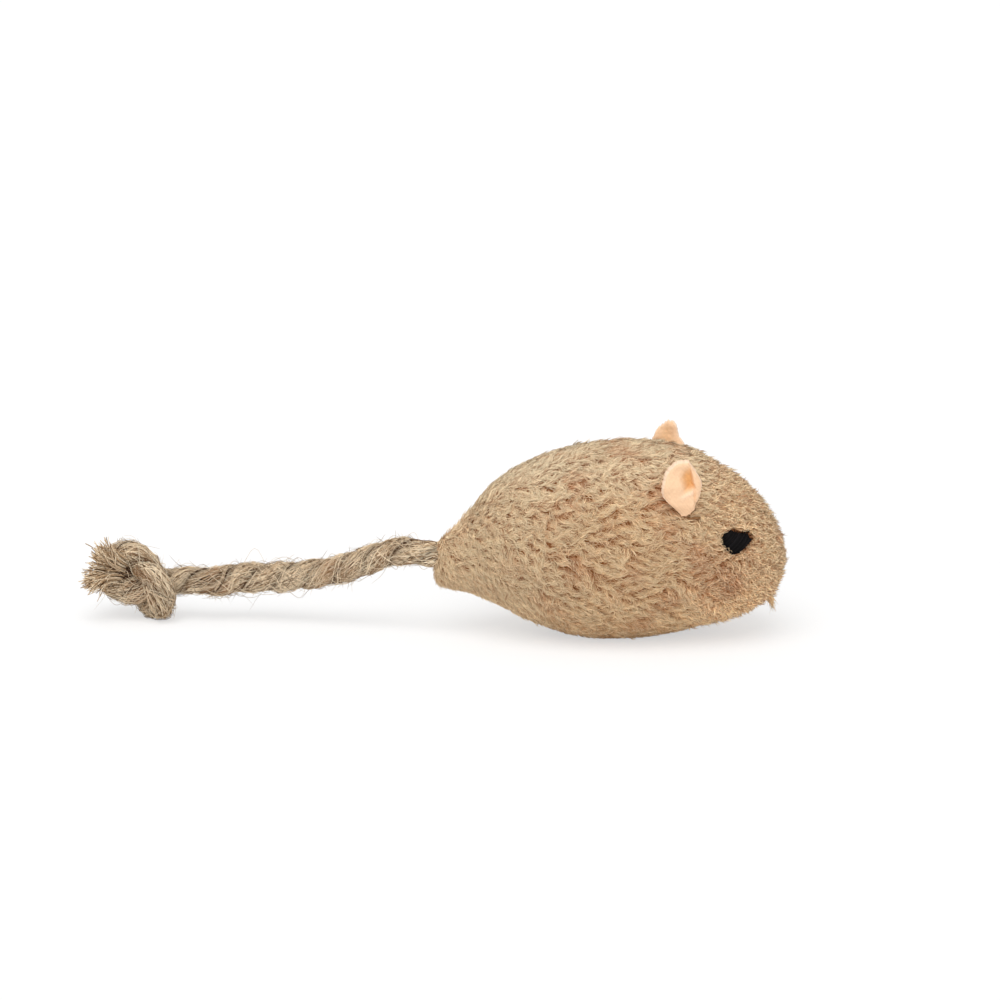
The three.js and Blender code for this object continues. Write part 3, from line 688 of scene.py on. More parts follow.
def rope_hairs(first, last, count, longest, steps=9):
    """Loose hairs that stand away from the rope."""
    picked = rope_random.integers(first, last, count)
    turn = rope_random.uniform(0, FULL_TURN, count)
    out = turned(turn, tail_across[picked], tail_rise[picked])
    way = rope_random.choice([-1, 1], count)[:, None] * tail_ahead[picked]
    round_it = np.cross(tail_ahead[picked], out)
    share = np.linspace(0, 1, steps)[None, :, None]
    length = rope_random.gamma(2.2, 0.75, count).clip(0.5, longest)[:, None, None]
    height = own(0.1, 0.6, count)[..., None]
    bow = varied(0, 0.5, count)[..., None]
    curl = varied(0, 0.8, count)[..., None]
    base = tail_line[picked] + out * (rope_radius[picked] * 0.85)[:, None]
    path = base[:, None] + length * (share * way[:, None] + height * (share - 0.55 * share**2) * out[:, None]
                                     + bow * share**2 * round_it[:, None]
                                     + curl * np.sin(share * 4) * share * out[:, None] * 0.4)
    thick = own(0.035, 0.065, count) * (1 - 0.5 * share[..., 0])
    tone = mix(JUTE_DARK, JUTE_PALE, own(0, 0.8, count)[..., None]) + np.zeros_like(path)
    return above_floor(path), thick, FIBRE_SIDES, round_it, tone


into_knot = knot_start + 8
shown = exit_at + 2
tail_rope = tubes_object(
    "jute_tail",
    [rope_core(0, into_knot), rope_fibres(0, into_knot, count=1100), binding_hairs(12, knot_start, count=90),
     groove_shade_fibres(shown, knot_start, count=110), rope_frizz(shown, knot_start, count=300)],
    rope_finish)
tail_hairs = tubes_object(
    "jute_tail_hairs", [rope_hairs(shown + 4, knot_start, count=1400, longest=5.5)], rope_finish)
knot_rope = tubes_object(
    "jute_knot",
    [rope_core(knot_start - 4, rope_end), rope_fibres(knot_start - 12, rope_end, count=1000),
     binding_hairs(knot_start, rope_end, count=70), groove_shade_fibres(knot_start, rope_end, count=90),
     rope_frizz(knot_start, rope_end, count=480), rope_hairs(knot_start, rope_end, count=1100, longest=5)],
    rope_finish)


def fray_fibres(count=FRAY_COUNT, steps=9):
    """The cut end, opened into two brushes that fan up and down."""
    start = rope_end - 5
    ahead = unit(tail_ahead[rope_end] + [0, -0.25, 0])
    lift = unit(np.array([0, 0, 1.0]) - ahead * ahead[2])
    across = np.cross(ahead, lift)
    upper = rope_random.uniform(0, 1, count) < 0.5
    fan_up, fan_down = rope_random.normal(*FRAY_UPPER, count), rope_random.normal(*FRAY_LOWER, count)
    fan = np.radians(np.where(upper, fan_up, fan_down))
    sway = np.radians(rope_random.normal(0, FRAY_SWAY, count))
    height = np.where(upper, 1, -1) + rope_random.normal(0, 0.6, count)
    offset = height[:, None] * lift + varied(0, 0.8, count) * across
    way = (np.cos(fan) * np.cos(sway))[:, None] * ahead + np.sin(fan)[:, None] * lift
    way = way + np.sin(sway)[:, None] * across
    share = np.append(np.linspace(0, 0.97, steps - 1), 1)[None, :, None]
    length = rope_random.normal(FRAY_LENGTH, 0.5, count).clip(4, 6.6)[:, None, None]
    path = (tail_line[start] + offset)[:, None] + length * (mix(ahead, way[:, None], share**0.7) * share)
    path = path + 0.14 * np.sin(share * 9 + own(0, FULL_TURN, count)[..., None]) * share * lift
    thick = own(0.07, 0.13, count) * (1 - 0.25 * share[..., 0])
    pale = np.clip(varied(0.5, 0.38, count)[..., None] + 0.1 * share, 0, 1)
    # Painted shade: fibres are darker near the cut and where they point straight along the rope, between the
    # two fans.
    shade = 0.6 + 0.4 * np.clip((np.abs(fan) + share[..., 0].T) / 0.6, 0, 1).T[..., None]
    return above_floor(path), thick, FIBRE_SIDES, np.tile(lift, (count, 1)), jute_tone(pale) * shade


frayed_end = tubes_object("jute_fray", [fray_fibres()], rope_finish)

for piece in (tail_rope, tail_hairs):
    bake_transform(piece)
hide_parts("tail_root", "tail_rope")
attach(knot_rope, "tail_end")
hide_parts("tail_knot")
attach(frayed_end, "tail_end")
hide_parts("tail_fray")


# Body skin

def spline(points, runs):
    """The smooth outline used by the solids, at runs from 0 at the rear to 1 at the nose."""
    full = np.vstack([2 * points[0] - points[1], points, 2 * points[-1] - points[-2]])
    place = np.clip(runs, 0, 1) * (len(points) - 1)
    i = np.minimum(place.astype(int), len(points) - 2)
    t = (place - i)[:, None]
    p0, p1, p2, p3 = full[i], full[i + 1], full[i + 2], full[i + 3]
    v1, v2 = 0.5 * (p2 - p0), 0.5 * (p3 - p1)
    return cubic(p1, p2, v1, v2, t)


def outline(line):
    """Points of the back or the belly line, with the body's half width as their y."""
    along, up = np.array(line).T
    heights = up * (BODY_HEIGHT + FLAT_DEPTH) - FLAT_DEPTH
    return np.stack([(along - 0.5) * BODY_LENGTH, np.array(HALF_WIDTHS) * BODY_WIDTH / 2, heights], axis=1)


def sections(runs, inset):
    """Middle, rise and half width of the body's cross sections."""
    top, low = spline(outline(BACK_LINE), runs), spline(outline(BELLY_LINE), runs)
    middle = (top + low) / 2
    inset = np.broadcast_to(inset, runs.shape)
    width = np.maximum(middle[:, 1] - inset, 0.05)
    middle[:, 1] = 0
    middle[:, 0] *= 1 - 2 * inset / BODY_LENGTH
    rise = (top - low) / 2
    rise[:, 1] = 0
    height = np.linalg.norm(rise, axis=1, keepdims=True)
    rise *= np.maximum(height - inset[:, None], 0.02) / np.maximum(height, 1e-6)
    return middle, rise, width


def belly_half(x):
    rear, chin = BELLY_REAR_INSET - BODY_LENGTH / 2, BODY_LENGTH / 2 - BELLY_CHIN_INSET
    share = np.clip((x - rear) / (chin - rear), 0, 1)
    return BELLY_WIDTH / 2 * np.sin(math.pi * share) ** 0.8


def skin_angles(middle, width):
    """Angles round each section, so that the seams fall on whole columns."""
    seam = math.pi + np.arccos(np.clip(belly_half(middle[:, 0]) / width, 0.05, 0.97))
    right = np.linspace(0, 1, SIDE_COLUMNS, endpoint=False)
    belly = np.linspace(0, 1, BELLY_COLUMNS, endpoint=False)
    top, other = math.pi / 2, 3 * math.pi - seam
    return np.concatenate([top + (seam - top)[:, None] * right,
                           seam[:, None] + (other - seam)[:, None] * belly,
                           other[:, None] + (5 * math.pi / 2 - other)[:, None] * right], axis=1)


def skin_grid(inset):
    """Rows of points from the rear to the nose, with a rounded rear end."""
    runs = np.linspace(0, 1, SKIN_ROWS)
    rear = smoothstep(REAR_SHARE, 0, runs)
    middle, rise, width = sections(runs, inset * (1 - REAR_FILL * rear))
    middle[:, 0] += REAR_FORWARD * rear
    angles = skin_angles(middle, width)
    grid = middle[:, None] + np.sin(angles)[..., None] * rise[:, None]
    grid[..., 1] += np.cos(angles) * width[:, None]
    caps = []
    for share in REAR_RINGS:
        ring = middle[0] + (grid[0] - middle[0]) * share
        ring[:, 0] -= REAR_CAP * math.sqrt(1 - share * share)
        caps.append(ring)
    return np.concatenate([np.stack(caps), grid])


def inflated(grid):
    """The skin blown up like a stuffed body, held at its seams, by a short cloth run at a large scale."""
    rows = len(grid)
    faces = grid_faces(rows, COLUMNS, closed=True)
    mesh = bpy.data.meshes.new("blown")
    mesh.from_pydata((grid.reshape(-1, 3) * MM * CLOTH_SCALE).tolist(), [], faces.tolist())
    blown = placed("blown", mesh)
    held = blown.vertex_groups.new(name="held")
    held.add([r * COLUMNS + c for r in range(rows) for c in SEAM_COLUMNS], 1, "REPLACE")
    held.add(list(range(COLUMNS)) + list(range((rows - 2) * COLUMNS, rows * COLUMNS)), 1, "REPLACE")
    cloth = blown.modifiers.new("cloth", "CLOTH")
    cloth.settings.vertex_group_mass = "held"
    cloth.settings.mass = 0.1
    cloth.settings.use_pressure = True
    cloth.settings.uniform_pressure_force = CLOTH_PRESSURE
    cloth.settings.effector_weights.gravity = 0
    cloth.point_cache.frame_start = 1
    cloth.point_cache.frame_end = CLOTH_FRAMES
    scene = bpy.context.scene
    for number in range(1, CLOTH_FRAMES + 1):
        scene.frame_set(number)
    shown = blown.evaluated_get(bpy.context.evaluated_depsgraph_get())
    moved = np.zeros(rows * COLUMNS * 3, np.float32)
    shown.data.vertices.foreach_get("co", moved)
    scene.frame_set(1)
    bpy.data.objects.remove(blown)
    bpy.data.meshes.remove(mesh)
    shift = moved.reshape(grid.shape) / (MM * CLOTH_SCALE) - grid
    size = np.linalg.norm(shift, axis=-1, keepdims=True)
    return grid + shift * np.minimum(1, SKIN_SWELL / np.maximum(size, 1e-9))


skin = skin_grid(SKIN_INSET)
skin = inflated(skin)


def skin_normals(grid):
    along = np.gradient(grid, axis=0)
    around = np.roll(grid, -1, axis=1) - np.roll(grid, 1, axis=1)
    normals = unit(np.cross(around, along))
    centre = grid.mean(axis=1, keepdims=True)
    normals *= np.sign((normals * (grid - centre)).sum(-1, keepdims=True)[2:-4].sum())
    normals[0] = [-1, 0, 0]
    normals[-1] = [1, 0, 0]
    return normals, unit(along)


normals, forward = skin_normals(skin)
# The backing is dark reddish brown as painted shade, which shows in the partings between the locks.
SKIN_PAINTED_SHADE = linear(150, 98, 60)


def panel(name, first, last, replaced):
    """One cut of the skin between two seams, with its own thickness."""
    columns = np.arange(first, last + 1) % COLUMNS
    outer = skin[:, columns]
    points, faces = closed_sheet(outer, outer - normals[:, columns] * SKIN_THICK)
    grain = waves(np.random.default_rng(5), 3)(points)[:, None]
    made = mesh_object(name, points, faces, skin_finish, SKIN_PAINTED_SHADE * (1 + 0.08 * grain))
    made.data.validate()
    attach(made, "torso")
    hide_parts(replaced)


panel("right_side", 0, SIDE_COLUMNS, "right_side_panel")
panel("belly", SIDE_COLUMNS, SIDE_COLUMNS + BELLY_COLUMNS, "belly_panel")
panel("left_side", SIDE_COLUMNS + BELLY_COLUMNS, COLUMNS, "left_side_panel")


# Places of the eyes and ears on the body

EYE_OUTLINE = np.array([
    [-0.5, 0.02], [-0.455, 0.24], [-0.32, 0.4], [-0.19, 0.455], [-0.03, 0.416], [0.13, 0.443], [0.32, 0.497],
    [0.445, 0.4], [0.5, 0.22], [0.37, 0.02], [0.25, -0.195], [0.1, -0.454], [-0.05, -0.497], [-0.27, -0.42],
    [-0.43, -0.25],
]) * [EYE_LENGTH, EYE_HEIGHT] * EYE_DRAWN - [EYE_BACK, 0]


def surface_frame(x, up_angle, side, behind, ahead):
    """Point, forward, up and out on the body, where forward runs between fine steps behind and ahead."""
    middle, rise, width = sections(np.linspace(0.5, 1, 2001), 0)

    def line(angle):
        made = middle + math.sin(angle) * rise
        made[:, 1] += math.cos(angle) * width
        return made

    turn = math.radians(up_angle)
    angle = turn if side > 0 else math.pi - turn
    here = line(angle)
    i = int(np.argmin(np.abs(here[:, 0] - x)))
    along = unit(here[i + ahead] - here[i - behind])
    up = line(angle + side * 0.02)[i] - here[i]
    up = unit(up - along * np.dot(up, along))
    return here[i], along, up, np.cross(along, up) * -side


def eye_frame(side_name):
    return surface_frame(EYE_X, EYE_UP_ANGLE, SIDES[side_name], behind=1, ahead=1)


def ear_frame(side_name):
    """The frame at an ear's root, with the ear's own way up, which leans outwards."""
    side = SIDES[side_name]
    point, along, _, _ = surface_frame(EAR_X[side_name], EAR_UP_ANGLE, side, behind=0, ahead=40)
    up = np.array([0, side * math.sin(EAR_LEAN), math.cos(EAR_LEAN)])
    along = unit(along - up * np.dot(along, up))
    return point, along, up, np.cross(along, up) * -side


def inside(outline_points, places):
    """Which flat places lie inside a closed outline."""
    result = np.zeros(len(places), bool)
    for a, b in zip(outline_points, np.roll(outline_points, -1, axis=0)):
        crosses = (a[1] > places[:, 1]) != (b[1] > places[:, 1])
        slope = (b[0] - a[0]) / (b[1] - a[1] if abs(b[1] - a[1]) > 1e-9 else 1e-9)
        result ^= crosses & (places[:, 0] < a[0] + (places[:, 1] - a[1]) * slope)
    return result


# Pile

pile_random = np.random.default_rng(23)


def sample(grid, row, column):
    r0 = np.clip(np.floor(row).astype(int), 0, len(grid) - 2)
    c0 = np.floor(column).astype(int)
    fr, fc = (row - r0)[:, None], (column - c0)[:, None]
    a, b = c0 % COLUMNS, (c0 + 1) % COLUMNS
    return mix(mix(grid[r0, a], grid[r0, b], fc), mix(grid[r0 + 1, a], grid[r0 + 1, b], fc), fr)


def pile_places(along_step, across_step):
    """Rows and columns of places scattered evenly over the skin."""
    steps = np.linalg.norm(np.diff(skin, axis=0), axis=-1).max(axis=1)
    along = np.concatenate([[0], np.cumsum(steps)])
    rows, columns = [], []
    for place in np.arange(along_step / 4, along[-1], along_step):
        row = np.interp(place, along, np.arange(len(along)))
        ring = sample(skin, np.full(COLUMNS + 1, row), np.arange(COLUMNS + 1.0))
        around = distances(ring)
        count = max(5, round(around[-1] / across_step))
        spots = (np.arange(count) + pile_random.uniform(0, 1) + pile_random.uniform(-0.3, 0.3, count)) / count
        columns.append(np.interp((spots % 1) * around[-1], around, np.arange(COLUMNS + 1.0)))
        shaken = place + pile_random.uniform(-0.5, 0.5, count) * along_step
        rows.append(np.interp(shaken, along, np.arange(len(along))))
    return np.concatenate(rows), np.concatenate(columns)


def rooted(row, column):
    """Root, outward way, lie and side way of the pile: it lies towards the nose and falls at the rump."""
    root = sample(skin, row, column)
    out = unit(sample(normals, row, column))
    way = sample(forward, row, column)
    way = unit(way - out * (way * out).sum(-1, keepdims=True))
    fall = np.array([0, 0, -1.0]) + out * out[:, 2:3]
    fall_share = np.interp(root[:, 0], [-29.4, -28, -26, -10, 6, 16, 28], [1.6, 1, 0.75, 0.5, 0.15, 0.1, 0])
    way = unit(way + fall * fall_share[:, None])
    return root, out, way, np.cross(out, way)


def bare(root):
    """Places with no pile: under the eyes, at the ear roots and round the tail."""
    found = np.linalg.norm(root - TAIL_ROOT_ROUTE[0], axis=1) < TAIL_BARE
    for side_name in SIDES:
        point, _, up, _ = ear_frame(side_name)
        found |= np.linalg.norm(root - point - EAR_BARE_UP * up, axis=1) < EAR_BARE
    return found | over_eye(root, 1)


def over_eye(places, size):
    found = np.zeros(len(places), bool)
    for side_name in SIDES:
        point, along, up, out = eye_frame(side_name)
        local = places - point
        flat = np.stack([local @ along, local @ up], axis=1)
        found |= (np.abs(local @ out) < EYE_DEPTH) & inside(EYE_OUTLINE * size, flat)
    return found


# Tones: reddish and dark at the roots as painted shade deep in the pile, tan along the strand, and pale at
# the tip as a painted highlight
PILE_ROOT_PAINTED_SHADE = linear(162, 94, 52)
PILE_PAINTED_SHADE = linear(152, 82, 42)
PILE_BODY = linear(228, 195, 151)
PILE_TIP_HIGHLIGHT = linear(245, 227, 192)
PILE_RED = linear(186, 114, 68)
PILE_GREY_AND_HIGHLIGHT = linear(236, 214, 178)
PILE_WARM = linear(244, 209, 162)

# Places on the body: the tuft under the chin, and the red pile behind the ear and on the cheek
CHIN = [27.3, -1, 7]
CHIN_TIP = [28.2, -1, 4.7]
EAR_RED = [8.3, -11.5, 26.5]
CHEEK_RED = [17.5, -12, 13]
red_waves = waves(pile_random, 7)


def near(places, point, spread):
    """From 1 at the point to 0 far from it."""
    return np.exp(-((places - point) ** 2).sum(-1) / spread)


def body_tones(root):
    """The tan of the pile: greyer at the rump, paler and greyer at the top of the back as a painted
    highlight, warm at the head, lighter low down as painted light, and red in patches.
    """
    x, z = root[:, 0], root[:, 2]
    red = np.clip(0.4 * red_waves(root) - 0.1, 0, 0.6) * (1 - 0.75 * smoothstep(-4, -18, x))
    red += 0.9 * near(root, EAR_RED, 8) + 0.8 * near(root, CHEEK_RED, 20)
    # The top of the back is made paler and greyer as a painted highlight
    grey_and_highlight = np.clip(0.6 * smoothstep(0, -20, x) + 0.7 * smoothstep(23, 31, z), 0, 1)
    tone = mix(mix(PILE_BODY, PILE_GREY_AND_HIGHLIGHT, grey_and_highlight[:, None]), PILE_WARM, smoothstep(10, 22, x)[:, None])
    level = np.interp(x, [-26, -20, -14, -4, 8, 12, 24, 28], [0.96, 0.95, 0.92, 0.94, 0.97, 1, 1, 0.9])
    level = level + smoothstep(10, 16, x) * np.interp(z, [9, 17], [0.15, -0.1])
    # Painted light: the pile is lighter low down, standing in for light from below
    level = level * (1 + 0.18 * smoothstep(14, 4, z))
    return mix(tone * level[:, None], PILE_RED, np.clip(red * 0.7, 0, 0.85)[:, None])


# Locks, each a wisp of strands that lie the same way
lock_row, lock_column = pile_places(LOCK_ALONG, LOCK_ACROSS)
lock_root, lock_out, lock_way, lock_side = rooted(lock_row, lock_column)
lock_x = lock_root[:, 0]
lock_count = len(lock_root)
head = smoothstep(8, 22, lock_x)
rump = smoothstep(-6, -22, lock_x)
under = smoothstep(6, 1.5, lock_root[:, 2])
chin = near(lock_root, CHIN, 1.2)
back_gap = np.minimum(lock_column, COLUMNS - lock_column)
smooth_seam = smoothstep(2.6, 1, back_gap) * smoothstep(-2, -10, lock_x)
tuft = np.maximum(waves(pile_random, 2.3)(lock_root), 0) * (0.15 + 0.85 * head)

# Lean from upright in degrees at the root and at the tip, and the length, by region
first_lean = 55 - 18 * head + 6 * rump + 8 * under - 20 * chin - 8 * tuft
first_lean = first_lean + pile_random.normal(0, 6, lock_count)
last_lean = 98 - 26 * head + 4 * rump + 4 * under - 40 * chin - 10 * tuft
last_lean = last_lean + pile_random.normal(0, 7, lock_count) * (1 + head)
lock_length = STRAND_LENGTH * (1 - 0.32 * head - 0.06 * rump - 0.12 * under + 0.7 * chin)
lock_length *= np.clip(pile_random.normal(1, 0.12, lock_count), 0.65, 1.35)
lock_length *= mix(0.6, 1, smoothstep(-29.5, -26, lock_x))
from_seams = np.abs(lock_column - np.array(SEAM_COLUMNS)[:, None])
seam_gap = np.minimum(from_seams, COLUMNS - from_seams).min(axis=0)
lock_length *= 1 - 0.25 * smoothstep(1.3, 0.3, seam_gap)
lock_turn = pile_random.normal(0, 1, lock_count) * (0.3 + 0.3 * head)
sway = np.interp(lock_x, [-30, -20, -8, 30], [0.45, 0.65, 1, 1.1]) * (1 - 0.7 * smooth_seam)
broad_swirl = waves(pile_random, 5.5)
fine_swirl = waves(pile_random, 1.5)


def lock_guides(parts=12):
    """The middle line of each lock, turned by swirls that neighbours share."""
    spot = lock_root.copy()
    line = [spot]
    for k in range(parts):
        share = (k + 0.5) / parts
        lean = np.radians(mix(first_lean, last_lean, share**0.7))
        turn = lock_turn + sway * (0.36 * broad_swirl(spot) + 0.62 * fine_swirl(spot))
        heading = turned(turn, lock_way, lock_side)
        step = turned(lean, lock_out, heading)
        spot = spot + step * (lock_length / parts)[:, None]
        line.append(spot)
    kept = [line[round(place * parts)] for place in STRAND_PLACES]
    return np.stack(kept, axis=1) - lock_root[:, None]


guides = lock_guides()
lock = np.repeat(np.arange(lock_count), LOCK_STRANDS)
strand_count = len(lock)
share = np.array(STRAND_PLACES)[None, :, None]
across = pile_random.uniform(-1, 1, strand_count)[:, None, None]
behind = pile_random.uniform(-0.5, 0.5, strand_count)[:, None, None] * LOCK_ALONG
grown = np.clip(pile_random.normal(0.95, 0.18, strand_count), 0.45, 1.3)[:, None, None]
strand_out = lock_out[lock][:, None]
rise = (guides[lock] * strand_out).sum(-1, keepdims=True) * strand_out
lie = guides[lock] - rise
own_turn = (pile_random.normal(0, 1, strand_count) * (0.15 + 0.25 * head[lock]))[:, None]
lie = turned(own_turn, lie, np.cross(strand_out, lie))
strand_side = lock_side[lock][:, None]
phase = pile_random.uniform(0, 1, (strand_count, 1, 1))
crimp = CRIMP * np.sin(FULL_TURN * (1.7 * share + phase)) * strand_side
side_step = across * LOCK_HALF * strand_side
along_step = behind * lock_way[lock][:, None]
arch = 0.14 * (1 - across**2) * np.sin(math.pi * share**0.8) * strand_out
stray = pile_random.normal(0, 0.1, (strand_count, 1, 3)) * share
fuzz = np.abs(pile_random.normal(0, 0.14, (strand_count, 1, 1))) * share**2 * strand_out
strand_root = lock_root[lock] + side_step[:, 0] + along_step[:, 0]
strand_paths = (lock_root[lock][:, None] + (rise + lie) * grown + side_step * (1 - 0.45 * share)
                + along_step * (1 - 0.3 * share) + arch + crimp + stray + fuzz)
strand_paths = above_floor(strand_paths, PILE_CLEAR)
strand_keep = ~bare(strand_root) & ~over_eye(strand_paths[:, -1], 0.94)

lock_body = body_tones(lock_root)
# Paler along the back seam at the rump, a painted highlight on the top of the back
lock_body = mix(lock_body, PILE_TIP_HIGHLIGHT, 0.55 * smooth_seam[:, None])
# Painted shade at the roots, a little lighter at the rump, and painted highlight towards the tips
lock_root_shade = mix(PILE_ROOT_PAINTED_SHADE, lock_body, 0.35 * rump[:, None])
tone_rows = [mix(lock_root_shade, lock_body, 0.3), mix(lock_root_shade, lock_body, 0.95),
             mix(lock_body, PILE_TIP_HIGHLIGHT, 0.34), mix(lock_body, PILE_TIP_HIGHLIGHT, 0.6)]
lock_tones = np.stack(tone_rows, axis=1) * np.exp(pile_random.normal(0, 0.06, lock_count))[:, None, None]
# Painted shade: strands at the edges of each lock, where the partings lie, and a few strands at random, more
# on the head, are darkened towards the shade tone
own_painted_shade = pile_random.uniform(0, 1, strand_count) < 0.06 + 0.18 * head[lock]
shaded = 0.38 * smoothstep(0.6, 0.95, np.abs(across)) + 0.65 * own_painted_shade[:, None, None]
strand_tones = mix(lock_tones[lock], PILE_PAINTED_SHADE, np.clip(shaded, 0, 0.74))
own_level = np.exp(pile_random.normal(0, 1, strand_count) * (0.07 + 0.1 * head[lock]))
strand_tones = strand_tones * own_level[:, None, None]
strand_thick = STRAND_RADIUS * pile_random.uniform(0.75, 1.25, (strand_count, 1)) * [1, 1, 0.8, 0.3]
lock_strands = (strand_root[:, 0], lock_column[lock], strand_keep, strand_paths, strand_thick,
                lock_out[lock], strand_tones)


def undercoat():
    """Short strands all over the skin, which fill the partings between the locks."""
    row, column = pile_places(UNDER_STEP, UNDER_STEP)
    root, out, way, side = rooted(row, column)
    turn = 0.4 * broad_swirl(root) + pile_random.normal(0, 0.6, len(root))
    heading = turned(turn, way, side)
    length = UNDER_LENGTH * pile_random.uniform(0.7, 1.2, (len(root), 1))
    middle = root + length * (0.33 * out + 0.35 * heading)
    tip = root + length * (0.45 * out + 0.85 * heading)
    paths = above_floor(np.stack([root, middle, tip], axis=1), PILE_CLEAR)
    body = body_tones(root)
    base = mix(PILE_ROOT_PAINTED_SHADE, body, 0.35 * smoothstep(-6, -22, root[:, 0])[:, None])
    # The undercoat is darker towards its roots, painted shade deep in the pile
    tones = np.stack([base, mix(base, body, 0.58), mix(base, body, 0.86)], axis=1)
    tones = tones * np.exp(pile_random.normal(0, 0.08, len(root)))[:, None, None]
    thick = UNDER_RADIUS * pile_random.uniform(0.8, 1.2, (len(root), 1)) * [1, 0.9, 0.3]
    return root[:, 0], column, ~bare(root) & ~over_eye(tip, 0.95), paths, thick, out, tones


def chin_wisp(count=60):
    """A wisp of longer strands that hangs from the seam under the chin."""
    nearest = np.argsort(((lock_root - CHIN) ** 2).sum(-1))[:10]
    picked = pile_random.choice(nearest, count)
    root = lock_root[picked] + pile_random.normal(0, 0.2, (count, 3))
    tip = np.array(CHIN_TIP) + pile_random.normal(0, 1, (count, 3)) * [0.35, 0.4, 0.55]
    middle = mix(root, tip, 0.5) + [0.35, 0, 0] + pile_random.normal(0, 0.12, (count, 3))
    # The wisp's tips are pale, a painted highlight
    tones = np.stack([lock_body[picked], lock_body[picked], mix(lock_body[picked], PILE_TIP_HIGHLIGHT, 0.75)], axis=1)
    thick = STRAND_RADIUS * pile_random.uniform(0.7, 1.1, (count, 1)) * [1, 0.9, 0.3]
    paths = np.stack([root, middle, tip], axis=1)
    return root[:, 0], lock_column[picked], np.ones(count, bool), paths, thick, lock_out[picked], tones


PILE_SIDES = {
    "right": (0, SIDE_COLUMNS), "belly": (SIDE_COLUMNS, SIDE_COLUMNS + BELLY_COLUMNS),
    "left": (SIDE_COLUMNS + BELLY_COLUMNS, COLUMNS + 1),
}
SIDE_PARTS = {"rump": (-40, -12), "loin": (-12, -2), "flank": (-2, 7), "shoulder": (7, 16), "head": (16, 40)}
BELLY_PARTS = {"rear": (-40, 0), "front": (0, 40)}
pile_layers = [lock_strands, undercoat(), chin_wisp()]
for side_name, (first_column, last_column) in PILE_SIDES.items():
    for part, (low, high) in (BELLY_PARTS if side_name == "belly" else SIDE_PARTS).items():
        groups = []
        for x, column, keep, paths, thick, out, tones in pile_layers:
            chosen = keep & (x >= low) & (x < high) & (column >= first_column) & (column < last_column)
            if chosen.any():
                groups.append((paths[chosen], thick[chosen], FIBRE_SIDES, out[chosen], tones[chosen]))
        made = tubes_object(f"{side_name}_{part}_pile", groups, pile_finish, soft=0.4)
        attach(made, "torso")


# Ears: folded felt with a pocket open at the top

# Edges behind and in front of the tip, by the share of the height
EAR_EDGES = {
    "right": ([[0, -0.1], [0.13, -1.3], [0.23, -2.25], [0.31, -3.1], [0.4, -3.7], [0.5, -3.95], [0.7, -3.55],
               [0.82, -3.05], [0.91, -2.35], [0.96, -1.7], [1, -1.1]],
              [[0, 0.2], [0.06, 1.15], [0.13, 1.75], [0.27, 2.1], [0.33, 2.65], [0.55, 3.05], [0.69, 2.65],
               [0.82, 1.85], [0.93, 1.15], [1, 0.6]]),
    "left": ([[0, -0.1], [0.13, -1.3], [0.31, -3.1], [0.45, -3.9], [0.65, -3.8], [0.72, -3.5], [0.8, -3.05],
              [0.86, -2.9], [0.91, -2.4], [0.95, -1.6], [1, -0.9]],
             [[0, 0.2], [0.06, 1.15], [0.27, 2.1], [0.5, 2.4], [0.64, 1.8], [0.71, 1.2], [0.78, 0.85],
              [0.92, 0.7], [0.96, 0.4], [1, -0.1]]),
}
EAR_TIP = -0.62
EAR_SPAN = 10.15
EAR_ROOT = 0.07
EAR_SHIFT = {"right": -0.3, "left": 0.5}
EAR_HALF_THICK = 0.25
EAR_FRONT_SWELL = 0.85
EAR_BACK_SWELL = 0.55
EAR_ROUND = 0.9
EAR_TUCK = 1.6
EAR_COLUMNS = 81
EAR_ROWS = 97
EAR_PALE = linear(238, 198, 161)
EAR_WARM_AND_SHADE = linear(226, 174, 116)
EAR_CUT_AND_HIGHLIGHT = linear(248, 219, 192)

# The pocket: its side edges and the crease by the height seen, and its lip and rim by the place along
POCKET_REAR = [4, 4.75, 5.6, 6.7, 8.9], [-0.5, -0.6, -0.9, -1.35, -1]
POCKET_FRONT = [4.6, 5.1, 6.1, 7.3, 8.9], [1.5, 1.5, 1.1, 0.9, 0.55]
POCKET_CREASE = [2, 4.75], [1.9, 1.55]
POCKET_LIP = [-0.5, 1.4], [3.9, 4.75]
POCKET_RIM = [-1.5, 0.6], [8.5, 9.05]
POCKET_DEPTH = 1.15
LEFT_RIM_DROP = 1
LIP_HEIGHT = 0.22
CREASE_DEPTH = 0.28


def eased(table, places):
    """A table read with rounded corners."""
    table = np.array(table)
    spread = np.linspace(-0.05, 0.05, 7)
    return np.mean([np.interp(places + s, table[:, 0], table[:, 1]) for s in spread], axis=0)


def pocket(x, seen, side_sign):
    """How far each place lies in the hollow, on its lip and in the crease beside it, from 0 to 1."""
    rear, front = np.interp(seen, *POCKET_REAR), np.interp(seen, *POCKET_FRONT)
    across = (x - rear) / (front - rear)
    lip = seen - np.interp(x, *POCKET_LIP)
    rim = np.interp(x, *POCKET_RIM) - seen
    if side_sign > 0:
        rim = rim - LEFT_RIM_DROP
    hollow = smoothstep(0, 0.85, across) * smoothstep(1.18, 1, across)
    hollow = hollow * smoothstep(-0.15, 0.75, lip) * smoothstep(-0.1, 2.4, rim)
    lip_swell = np.exp(-((lip + 0.35) / 0.45) ** 2) * smoothstep(-1.6, 0.2, x) * smoothstep(1.9, 1.3, x)
    crease = np.exp(-((x - np.interp(seen, *POCKET_CREASE)) / 0.2) ** 2)
    return hollow, lip_swell, crease * smoothstep(1.2, 2.4, seen) * smoothstep(5.2, 4.4, seen)


